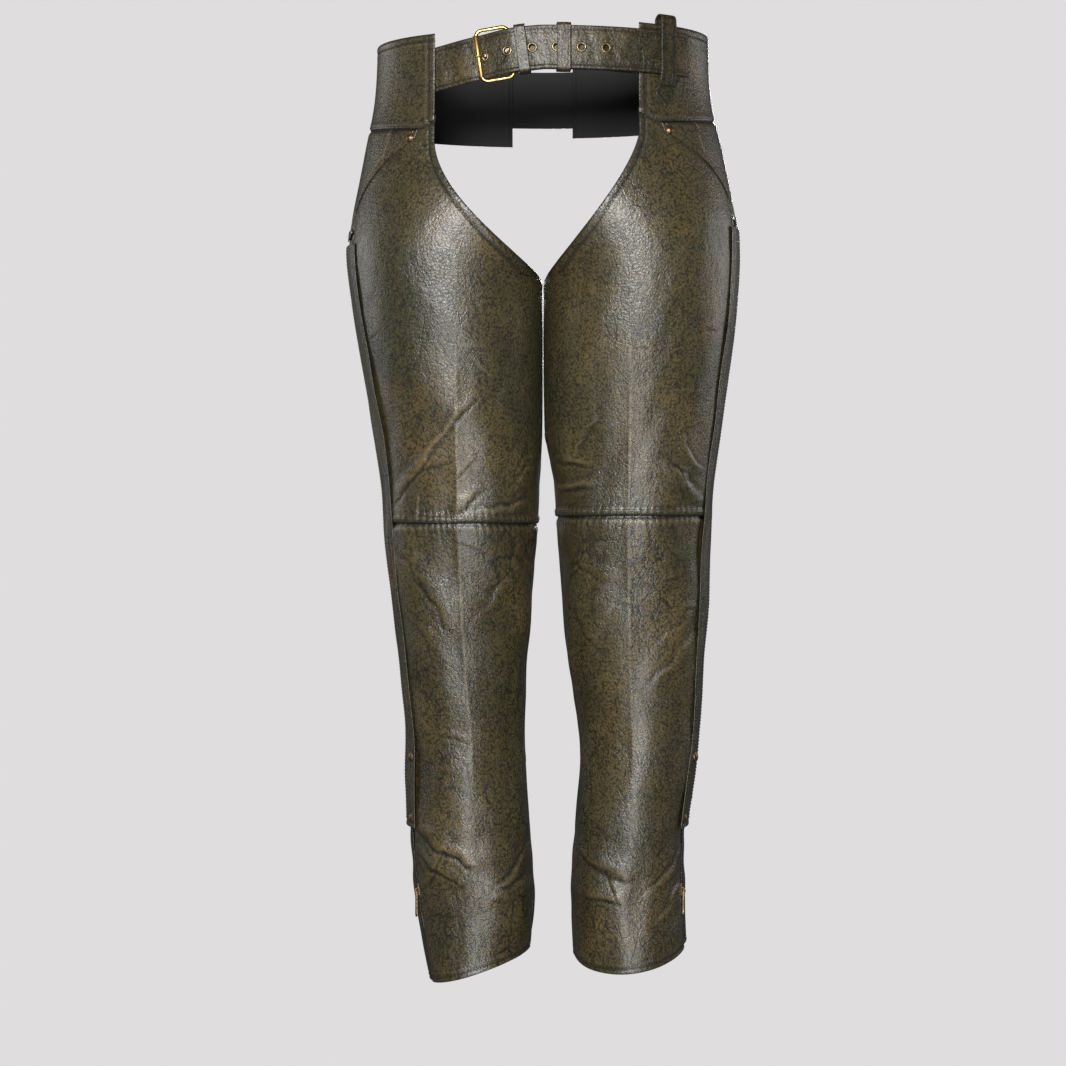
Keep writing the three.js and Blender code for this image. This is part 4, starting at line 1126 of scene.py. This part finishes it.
for first in (0, len(points) - prongSides):
    ring = np.arange(prongSides) + first
    lid = np.stack([ring[k], ring[k + 1], ring[prongSides - 2 - k], ring[prongSides - 1 - k]], -1)
    lids.append(lid if first else lid[:, ::-1])
faces = np.concatenate([faces] + lids)
points, faces = joinParts([(points, faces), eye])
prongPin = makeMesh("buckle_prong_pin", inFrame(points, buckleFrame), faces, agedBrass)
finishPiece(prongPin, "buckle_prong", "buckle_prong")


def ribbon(centre, normal, across, half, thick, roll=0.7):
    # a sheet along a line: outer and inner grids with rounded edges
    v = (spread(28, float(np.max(half)) * 2, roll) * 2 - 1)[None]
    half = np.broadcast_to(np.asarray(half, float), (len(centre),))[:, None]
    steps = np.linalg.norm(np.diff(centre, axis=0), axis=1)
    run = np.concatenate([[0], np.cumsum(steps)])[:, None]
    fromEnd = np.minimum(run, run[-1] - run)
    fromSide = half * (1 - np.abs(v))
    nearest = np.minimum(fromSide, fromEnd)
    rollDown = 1 - np.sqrt(np.clip(1 - (1 - np.clip(nearest / roll, 0, 1)) ** 2, 0, 1))
    flat = centre[:, None] + across[:, None] * (half * v)[..., None]
    out = (thick / 2 * (1 - 0.85 * rollDown))[..., None] * normal[:, None]
    seam = np.maximum(0.6 * np.exp(-nearest / 1.1), 0.6 * bump(fromSide - 3.2, 0.9))
    return flat + out, flat - out, seam


# the buckle strap, and its end folded round the heel bar in two parts, one each side of the prong
beltStrap("buckle_strap_leather", -25.5, 116, underOff, "buckle_strap", seed=8, grid=(220, 46))
turnBack = np.radians(np.linspace(90, 270, 40))
front = np.column_stack([np.linspace(8.5, 0.3, 12), np.linspace(-0.7, -3.3, 12)])
around = np.column_stack([3.35 * np.cos(turnBack), -3.35 * np.sin(turnBack)])
rear = np.column_stack([np.linspace(0.3, 8.5, 12), np.linspace(3.3, 1.3, 12)])
foldLine = np.vstack([front, around, rear])
foldLine = np.column_stack([foldLine[:, 0] + bar, foldLine[:, 1], np.zeros(len(foldLine))])
along = np.gradient(foldLine, axis=0)
along /= np.linalg.norm(along, axis=1)[:, None]
foldNormal = np.cross(along, [0, 0, 1.0])
foldUp = np.broadcast_to([0, 0, 1.0], foldLine.shape)
for part, middle in (("lower", -14.6), ("upper", 14.6)):
    outer, inner, seam = ribbon(foldLine + [0, 0, middle], foldNormal, foldUp, 8.0, 1.7)
    outer, inner = inFrame(outer, buckleFrame), inFrame(inner, buckleFrame)
    wear_and_sheen = {"seam": seam, "ridge_wear_and_highlight": seam * 0}
    fold = slab(f"buckle_strap_fold_{part}", outer, inner, [strapHide], wear_and_sheen)
    finishPiece(fold, "buckle_strap")


def keeperBand(name, node, x, width, inner, outer, body):
    # a loop round both straps: a rounded box outline, carried across its width
    high = belt["width"] + 2.4 + leather
    deep = outer - inner + leather
    shape = roundedRectangle(high, deep, 3.4, 20)
    tangent = np.roll(shape, -1, 0) - np.roll(shape, 1, 0)
    normal = np.stack([tangent[:, 1], -tangent[:, 0]], -1)
    normal /= np.linalg.norm(normal, axis=1)[:, None]
    edge = roundedRectangle(width, leather, 0.7, 5)
    wear = 0.18 * bump(np.abs(edge[:, 0]) - width / 2 + 2.4, 0.8) * (edge[:, 1] > 0)
    stand = edge[:, 1] - wear
    rim = shape[:, None] + normal[:, None] * stand[None, :, None]
    y = -(rim[..., 1] + (inner + outer) / 2)
    points = np.stack([np.broadcast_to(edge[:, 0], y.shape), y, rim[..., 0]], -1)
    points = inFrame(points, strapFrame(x, lambda a: 0 * a))
    obj = makeMesh(name, points, ringFaces(len(shape), len(edge), True), strapHide)
    seam = np.broadcast_to(0.55 * np.exp(-(width / 2 - np.abs(edge[:, 0])) / 1.0), y.shape)
    setAttribute(obj, "seam", seam)
    setAttribute(obj, "ridge_wear_and_highlight", seam * 0)
    finishPiece(obj, node, body)


keeperBand("keeper_fixed_band", "keeper_fixed", -22, 12, -3.4, 11.6, "leather")
keeperBand("keeper_sliding_band", "keeper_sliding", 21, 15, -1.8, 9.6, "keeper")


def beltLoop():
    middle = 129
    stops = [
        [-4.4, -16], [-4.4, 8], [-1, 15], [5.4, 16], [9.2, 9],
        [9.4, -20], [9.2, -46], [6.4, -57], [2.8, -63], [2.6, -82],
    ]
    line = catmull(stops, 150)
    half = levels([[-82, 0.8], [-67, 10.6], [-58, 7.8], [40, 7.8]])(line[:, 1])
    half[:60] = 7.8
    along = np.gradient(line, axis=0)
    along /= np.linalg.norm(along, axis=1)[:, None]
    flat = np.column_stack([line[:, 0], np.zeros(len(line)), line[:, 1]])
    normal = np.column_stack([-along[:, 1], np.zeros(len(line)), along[:, 0]])
    across = np.broadcast_to([0, 1.0, 0], flat.shape)
    outer, inner, seam = ribbon(flat, normal, across, half, 1.5)

    def wrapped(local):
        level = np.minimum(local[..., 2], leftLeg["top"])
        points = onLeg(leftLeg, angleAt(leftLeg, middle + local[..., 1], level), level, local[..., 0])
        points[..., 2] = local[..., 2]
        return points
    wear_and_sheen = {"seam": seam, "ridge_wear_and_highlight": seam * 0}
    obj = slab("belt_loop_leather", wrapped(outer), wrapped(inner), [strapHide], wear_and_sheen)
    finishPiece(obj, "belt_loop")


beltLoop()


def behind(x, z, out):
    x, z = np.broadcast_arrays(np.asarray(x, float), np.asarray(z, float))
    return onLeg(leftLeg, -angleAt(leftLeg, x, z), z, out)


backStrap = {"half": 52, "low": -72, "high": -8, "off": 3.1, "thick": 1.6}


def backBand():
    side, low, high = backStrap["half"], backStrap["low"], backStrap["high"]
    x = -side + 2 * side * spread(110, 2 * side)[:, None]
    z = low + (high - low) * spread(50, high - low)[None]
    distances = np.broadcast_arrays(x + side, side - x, z - low, high - z)
    nearest = np.minimum.reduce(distances)
    roll = 1 - np.sqrt(np.clip(1 - (1 - np.clip(nearest / 0.9, 0, 1)) ** 2, 0, 1))
    lift = 0.25 * waves(x, z, 31, 7, 50, 7) + 0.3 * bump(nearest - 2.6, 2) - 0.45 * bump(nearest - 6, 1.0)
    half = backStrap["thick"] / 2 * (1 - 0.9 * roll)
    outer = behind(x, z, backStrap["off"] + lift + half)
    inner = behind(x, z, backStrap["off"] + lift * 0.5 - half)
    seam = np.maximum(0.7 * bump(nearest - 6, 1.3), 0.5 * np.exp(-nearest / 1.3))
    obj = slab("back_band_leather", outer, inner, [thighHide, suedeBack], {"seam": seam, "ridge_wear_and_highlight": seam * 0})
    finishPiece(obj, "back_band")
    panels["back_band"] = {"outer": outer, "distances": distances}


backBand()


def domedCap(name, node, place, radius, height, finish, slot):
    rim = 0.35 * height
    shape = [
        (0.96, -0.4), (1, 0.2), (1, rim * 0.7), (0.96, rim), (0.86, rim * 1.15), (0.82, rim * 0.95),
        (0.76, rim * 1.2), (0.6, height * 0.78), (0.4, height * 0.92), (0.2, height * 0.985),
    ]
    side = [(radius * r, h) for r, h in shape]
    outline2d = [(0.02, -0.4)] + side + [(0.02, height)]
    points, faces = lathe(outline2d, 40)
    finishPiece(makeMesh(name, inFrame(points, place), faces, finish), node)


def onLegFrame(leg, angle, z, out):
    z = np.array(float(z))
    foot, further = onLeg(leg, angle, z, out), onLeg(leg, angle, z, out + 1)
    return frameAt(foot, further - foot, np.array([0, 0, 1.0]))


def lifted(leg, angle, z):
    return float(relief(leg, np.array(float(angle)), np.array(float(z))))


rivet = {"radius": 4.6, "height": 2.8}
snap = {"radius": 6, "height": 3.2}
for leg in (rightLeg, leftLeg):
    name = leg["name"]
    mouth = leg["pocket"]["mouth"]
    z = pocketLine(leg, mouth) - 5
    place = onLegFrame(leg, mouth, z, 2.7 + lifted(leg, mouth, z))
    domedCap(f"{name}_pocket_rivet_cap", f"{name}_pocket_rivet", place, **rivet,
             finish=copperCap, slot="copper_rivet")
    for level, z in (("upper", -781), ("lower", -848)):
        angle = float(zipSide(leg, np.array(float(z)), 8))
        place = onLegFrame(leg, angle, z, 3.6 + lifted(leg, angle, z))
        domedCap(f"{name}_{level}_snap_cap", f"{name}_{level}_snap", place, **snap,
                 finish=darkBrass, slot="aged_brass")
for side, x in (("right", -43), ("left", 43)):
    for level, z in (("upper", -20), ("lower", -60)):
        foot, further = behind(x, z, 3.9), behind(x, z, 5.0)
        place = frameAt(foot, further - foot, np.array([0, 0, 1.0]))
        domedCap(f"back_rivet_{side}_{level}_cap", f"back_rivet_{side}_{level}", place, **rivet,
                 finish=copperCap, slot="copper_rivet")

for leg in (rightLeg, leftLeg):
    for part in ("slider", "pull"):
        metal = frame["nodes"][f"{leg['name']}_zip_{part}"]
        metal.data.materials.clear()
        metal.data.materials.append(darkBrass)
print("buckle, keepers, loop, rivets and snaps are in")


stitch = {"pitch": 3.7, "length": 2.9, "radius": 0.42}


def stitchRun(line, normal):
    # short threads lying in the groove, dipping in at both ends
    step = np.linalg.norm(np.diff(line, axis=0), axis=1)
    run = np.concatenate([[0], np.cumsum(step)])
    count = int(run[-1] // stitch["pitch"])
    if count < 2:
        return None
    at = (np.arange(count) + 0.5) * run[-1] / count

    def sample(values, where):
        return np.stack([np.interp(where, run, values[:, k]) for k in range(3)], -1)
    middle = sample(line, at)
    along = sample(line, at + 0.5) - sample(line, at - 0.5)
    along /= np.maximum(np.linalg.norm(along, axis=1), 1e-9)[:, None]
    out = sample(normal, at)
    out -= along * (out * along).sum(1)[:, None]
    out /= np.maximum(np.linalg.norm(out, axis=1), 1e-9)[:, None]
    side = np.cross(along, out)
    rings, sides = 5, 6
    s = np.linspace(-1, 1, rings)
    t = np.linspace(0, 2 * math.pi, sides, endpoint=False)
    r = stitch["radius"] * np.sqrt(np.clip(1 - s**2, 0.03, 1)) ** 0.7
    x = stitch["length"] / 2 * s
    dip = 0.22 - 0.4 * s**4
    ring = (middle[:, None, None] + along[:, None, None] * x[None, :, None, None]
            + side[:, None, None] * (r[:, None] * np.cos(t))[None, ..., None]
            + out[:, None, None] * (r[:, None] * np.sin(t) + dip[:, None])[None, ..., None])
    # each end is closed with two quads
    halves = np.array([[0, 1, 2, 3], [3, 4, 5, 0]])
    lastRing = (rings - 1) * sides
    one = np.concatenate([ringFaces(rings, sides), halves[:, ::-1], halves + lastRing])
    faces = (one[None] + (np.arange(count) * rings * sides)[:, None, None]).reshape(-1, 4)
    return ring.reshape(-1, 3), faces


def edgeLine(panel, edge, distance):
    # the line on a panel's outer face at a distance from one of its edges, and the normals there
    grid, far = panel["outer"], panel["distances"][edge]
    du, dv = np.gradient(grid, axis=0), np.gradient(grid, axis=1)
    normal = np.cross(du, dv)
    normal /= np.maximum(np.linalg.norm(normal, axis=-1), 1e-9)[..., None]
    if edge >= 2:
        grid, normal, far = (np.swapaxes(a, 0, 1) for a in (grid, normal, far))
    if edge in (1, 3):
        grid, normal, far = grid[::-1], normal[::-1], far[::-1]
    i = np.clip((far < distance).sum(0), 1, len(grid) - 1)
    k = np.arange(grid.shape[1])
    t = np.clip((distance - far[i - 1, k]) / np.maximum(far[i, k] - far[i - 1, k], 1e-9), 0, 1)[:, None]
    line = grid[i - 1, k] + (grid[i, k] - grid[i - 1, k]) * t
    return line, normal[i, k]


def sewAlong(name, runs, outFrom):
    # runs are (panel, edge, distance, keep) where keep picks the part of the line that is sewn
    parts = []
    for panel, edge, distance, keep in runs:
        line, normal = edgeLine(panel, edge, distance)
        away = line - outFrom(line)
        normal = normal * np.sign((normal * away).sum(1))[:, None]
        line, normal = line[4:-4], normal[4:-4]
        if keep is not None:
            chosen = keep(line)
            line, normal = line[chosen], normal[chosen]
        if len(line) > 3:
            made = stitchRun(line, normal)
            if made is not None:
                parts.append(made)
    points, faces = joinParts(parts)
    finishPiece(makeMesh(name, points, faces, darkThread), [])


def legAxis(leg):
    def at(points):
        z = points[:, 2]
        middle, _, _, back = section(leg, z)
        return np.stack([leg["side"] * middle, back, z], -1)
    return at


def aboveCrotch(line):
    return line[:, 2] > crotchHeight + 8


# each panel's sewn lines: the edge they follow (start, end, bottom or top) and how far in they lie
hemStitch = 6.6
seams = {
    "hip_yoke": [(1, hemStitch), (3, hemStitch), (2, 3.2), (0, 3.2)],
    "back_yoke": [(0, hemStitch), (3, hemStitch), (2, 3.2)],
    "side_panel": [(0, hemStitch)],
    "front_thigh": [(3, 3.4), (3, 8.4), (1, hemStitch), (2, 3.0), (2, 7.6)],
    "back_thigh": [(0, hemStitch), (2, 3.0), (2, 7.6)],
    "front_shin": [(2, hemStitch)],
    "back_shin": [(2, hemStitch)],
    "zip_flap": [(0, 4.5), (0, 9.5), (1, 4.5)],
}
opening = {("front_thigh", 1), ("back_thigh", 0)}
for leg in (rightLeg, leftLeg):
    runs = []
    for key, lines in seams.items():
        for edge, distance in lines:
            keep = aboveCrotch if (key, edge) in opening else None
            runs.append((panels[f"{leg['name']}_{key}"], edge, distance, keep))
    sewAlong(f"{leg['name']}_leg_stitches", runs, legAxis(leg))


def beltAxis(points):
    return points * [0, 0, 1]


straps = [panels["belt_tongue_leather"], panels["buckle_strap_leather"]]
strapRuns = [(strap, edge, 4.6, None) for strap in straps for edge in (2, 3)]
sewAlong("belt_stitches", strapRuns, beltAxis)
bandRuns = [(panels["back_band"], edge, 6.0, None) for edge in range(4)]
sewAlong("back_band_stitches", bandRuns, beltAxis)
print("stitching is sewn")

for name, width, length, area in sheetSizes:
    print(f"sheet {name}: {width:.3f} x {length:.3f} m, {area:.4f} m2")
